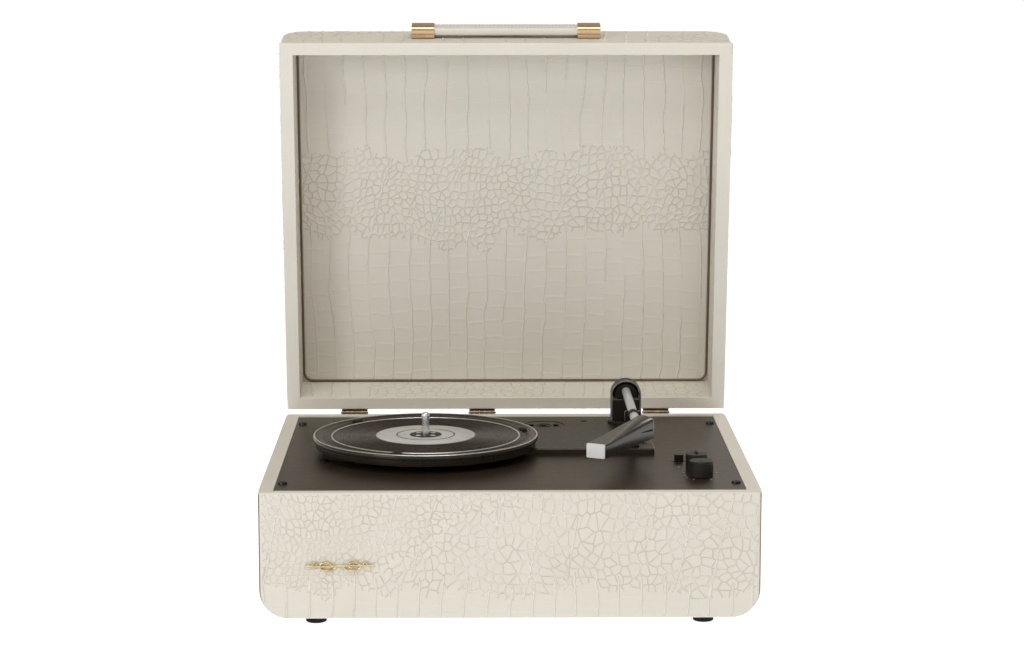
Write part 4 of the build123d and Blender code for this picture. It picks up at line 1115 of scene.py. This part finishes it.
def make_arm_details():
    """The dark collar on the tube over its rest, and a rim on the pivot hood coloured lighter grey than the hood
    as a painted highlight along its bevelled front edge, with a thin painted highlight line across its cover.
    """
    rest = centre_of("arm_rest")
    radius = 4.0
    x, y, z = rest[0] + 0.4, rest[1] - 7.6, top_of("arm_tube") - radius - 0.45
    angles = full_turn(40)
    sections = []
    for run, grow in ((-4.2, 0.25), (-3.9, 0.75), (-3.0, 0.95), (3.0, 0.95), (3.9, 0.75), (4.2, 0.25)):
        around = (radius + grow) * np.cos(angles), (radius + grow) * np.sin(angles)
        sections.append(base.at(x + around[0], y + run + 0 * angles, z + around[1]))
    finish_piece(loft("arm_collar", sections), "arm", "black_plastic", material=KNOB)
    low, high = local_box("arm_hood")
    half, x = (high[0] - low[0]) / 2, (high[0] + low[0]) / 2
    arch = high[2] - half
    reach, front = half - 0.7, low[1] + 0.35
    path = [base.at(x - reach, front, z) for z in np.linspace(low[2] + 1, arch, 12, endpoint=False)]
    for t in np.linspace(math.pi, 0, 40):
        path.append(base.at(x + reach * math.cos(t), front, arch + reach * math.sin(t)))
    path += [base.at(x + reach, front, z) for z in np.linspace(arch, low[2] + 1, 12)[1:]]
    # The rim and this thin line across the hood's cover edge are coloured lighter as painted highlight.
    split = [base.at(x + side * (half - 1.2), low[1] + 0.1, arch - 4.1) for side in (-1, 0, 1)]
    rim = join("hood_rim_highlight", [tube("hood_rim_highlight", path, 0.85), tube("hood_split_highlight", split, 0.28)])
    finish_piece(rim, "arm_base", "black_plastic", material=HOOD_RIM_HIGHLIGHT)


# ---- Small marks ----


def make_ornament():
    """A generic raised brass flourish on the front: two mirrored scrolls on a slim bar."""
    low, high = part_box("front_badge")
    middle = (np.array(low) + np.array(high)) / 2
    half = (high.x - low.x) / 2 / MM
    y_face = low.y + 0.0006
    pieces = []

    def wire(points, thick):
        path = [np.array((middle[0] + x * MM, y_face, middle[2] + z * MM)) for x, z in points]
        pieces.append(tube("wire", path, thick, sides=10))

    wire([(x, 0.5 * math.sin(x * 0.11)) for x in np.linspace(-half + 1.0, half - 1.0, 60)], 0.78)
    for mirror in (-1, 1):
        spiral = []
        for t in np.linspace(0, 1, 56):
            angle = math.pi + t * 2.4 * math.pi
            reach = 5.0 * (1 - 0.66 * t)
            spiral.append((mirror * (11 + reach * math.cos(angle) * 1.6), 0.3 + reach * math.sin(angle)))
        wire(spiral, 0.72)
        leaf = []
        for t in np.linspace(0, 1, 16):
            leaf.append((mirror * (half * 0.62 + 5.5 * t), 3.2 * math.sin(math.pi * t)))
        wire(leaf, 0.6)
    finish_piece(join("front_ornament", pieces), "base", "brass", "front_badge", material=GOLD)


def make_marks():
    """Plain dots and ticks printed on the deck beside the controls."""
    deck_top = top_of("deck_plate")
    pieces = []
    dots = ((147.4, 140.0, 0.9), (149.5, 80.0, 0.7), (178.0, 80.0, 0.7), (147.0, 104.0, 0.7))
    for x, y, radius in dots:
        dot = disc_profile(radius, deck_top - 0.05, deck_top + 0.06, hole=0.05, bevel=0.04)
        pieces.append(revolve("dot", (x, y), dot, 20))
    knob_x, knob_y = 163.5, 65.0
    for k in range(9):
        angle = math.radians(240 - 37.5 * k)
        path = [
            base.at(knob_x + reach * math.cos(angle), knob_y + reach * math.sin(angle), deck_top)
            for reach in (13.2, 14.8 if k % 4 else 16.0)
        ]
        pieces.append(tube("tick", path, 0.18, sides=6))
    finish_piece(join("deck_marks", pieces), "base", "deck_paint", material=PRINT)


# ---- Stage, light and camera ----


def make_stage():
    floor_mesh = bpy.data.meshes.new("studio_floor")
    reach = 30.0
    corners = [(-reach, -reach, 0), (reach, -reach, 0), (reach, reach, 0), (-reach, reach, 0)]
    floor_mesh.from_pydata(corners, [], [(0, 1, 2, 3)])
    floor = bpy.data.objects.new("studio_floor", floor_mesh)
    bpy.context.scene.collection.objects.link(floor)
    made = Shader("studio_floor", roughness=0.9, specular=0.1)
    made.colour(made.ramp(made.noise(3, 2), [(0.3, (0.60, 0.60, 0.60)), (0.7, (0.64, 0.64, 0.64))]))
    made.shader.inputs["Emission Color"].default_value = (0.92, 0.96, 1.0, 1)
    made.shader.inputs["Emission Strength"].default_value = 0.83
    floor_mesh.materials.append(made.material)


def area_light(name, place, target, size, power, colour=(1, 1, 1)):
    data = bpy.data.lights.new(name, "AREA")
    data.shape = "RECTANGLE"
    data.size, data.size_y = size
    data.energy = power
    data.color = colour
    light = bpy.data.objects.new(name, data)
    light.location = place
    light.rotation_euler = (Vector(target) - Vector(place)).to_track_quat("-Z", "Y").to_euler()
    bpy.context.scene.collection.objects.link(light)


def make_light():
    world = bpy.data.worlds.new("studio")
    bpy.context.scene.world = world
    world.use_nodes = True
    background = world.node_tree.nodes["Background"]
    background.inputs["Color"].default_value = (1.0, 0.925, 0.81, 1)
    background.inputs["Strength"].default_value = 0.42
    area_light("key", (-1.5, -1.65, 0.98), (0, 0.05, 0.25), (0.5, 0.6), 12.5, (0.96, 0.985, 1.0))
    area_light("fill", (0.5, -2.6, 0.7), (0, 0.1, 0.3), (1.2, 1.0), 2)
    area_light("top", (0.0, -0.75, 1.75), (0, 0.05, 0.2), (1.2, 0.9), 11.5)
    area_light("rear", (1.3, 2.4, 1.3), (0, 0, 0.2), (1.2, 1.2), 18)


def make_camera():
    data = bpy.data.cameras.new("camera")
    data.sensor_width = 36.0
    data.lens = 96.02
    camera = bpy.data.objects.new("camera", data)
    camera.location = (-0.0253, -2.4228, 0.5949)
    camera.rotation_euler = (math.pi / 2 - 0.152, 0, -0.0121)
    bpy.context.scene.collection.objects.link(camera)
    bpy.context.scene.camera = camera


paint_nodes()
make_boards()
make_shells()
make_lid_walls()
make_rims()
make_seams()
make_stitches(*make_strap())
platter_centre, platter_face = make_platter()
make_label(platter_centre, platter_face)
make_headshell()
make_arm_details()
make_ornament()
make_marks()
for material, nodes in (
    # The hinges and their screws take the shade-darkened brass.
    (HINGE_BRASS_SHADED, ("hinge_base_leaves", "hinge_lid_leaves", "hinge_pins")),
    (HINGE_BRASS_SHADED, ("hinge_base_screws", "hinge_lid_screws")),
    (PLATE, ("mechanism_plate", "record_adapter")),
    (SLOT_MATERIAL["black_screw"], ("mechanism_screws",)),
    (KNOB, ("volume_knob", "selector_knob")),
):
    for node in nodes:
        frame["nodes"][node].data.materials[0] = material
make_stage()
make_light()
make_camera()
bpy.context.scene.view_settings.view_transform = "Standard"
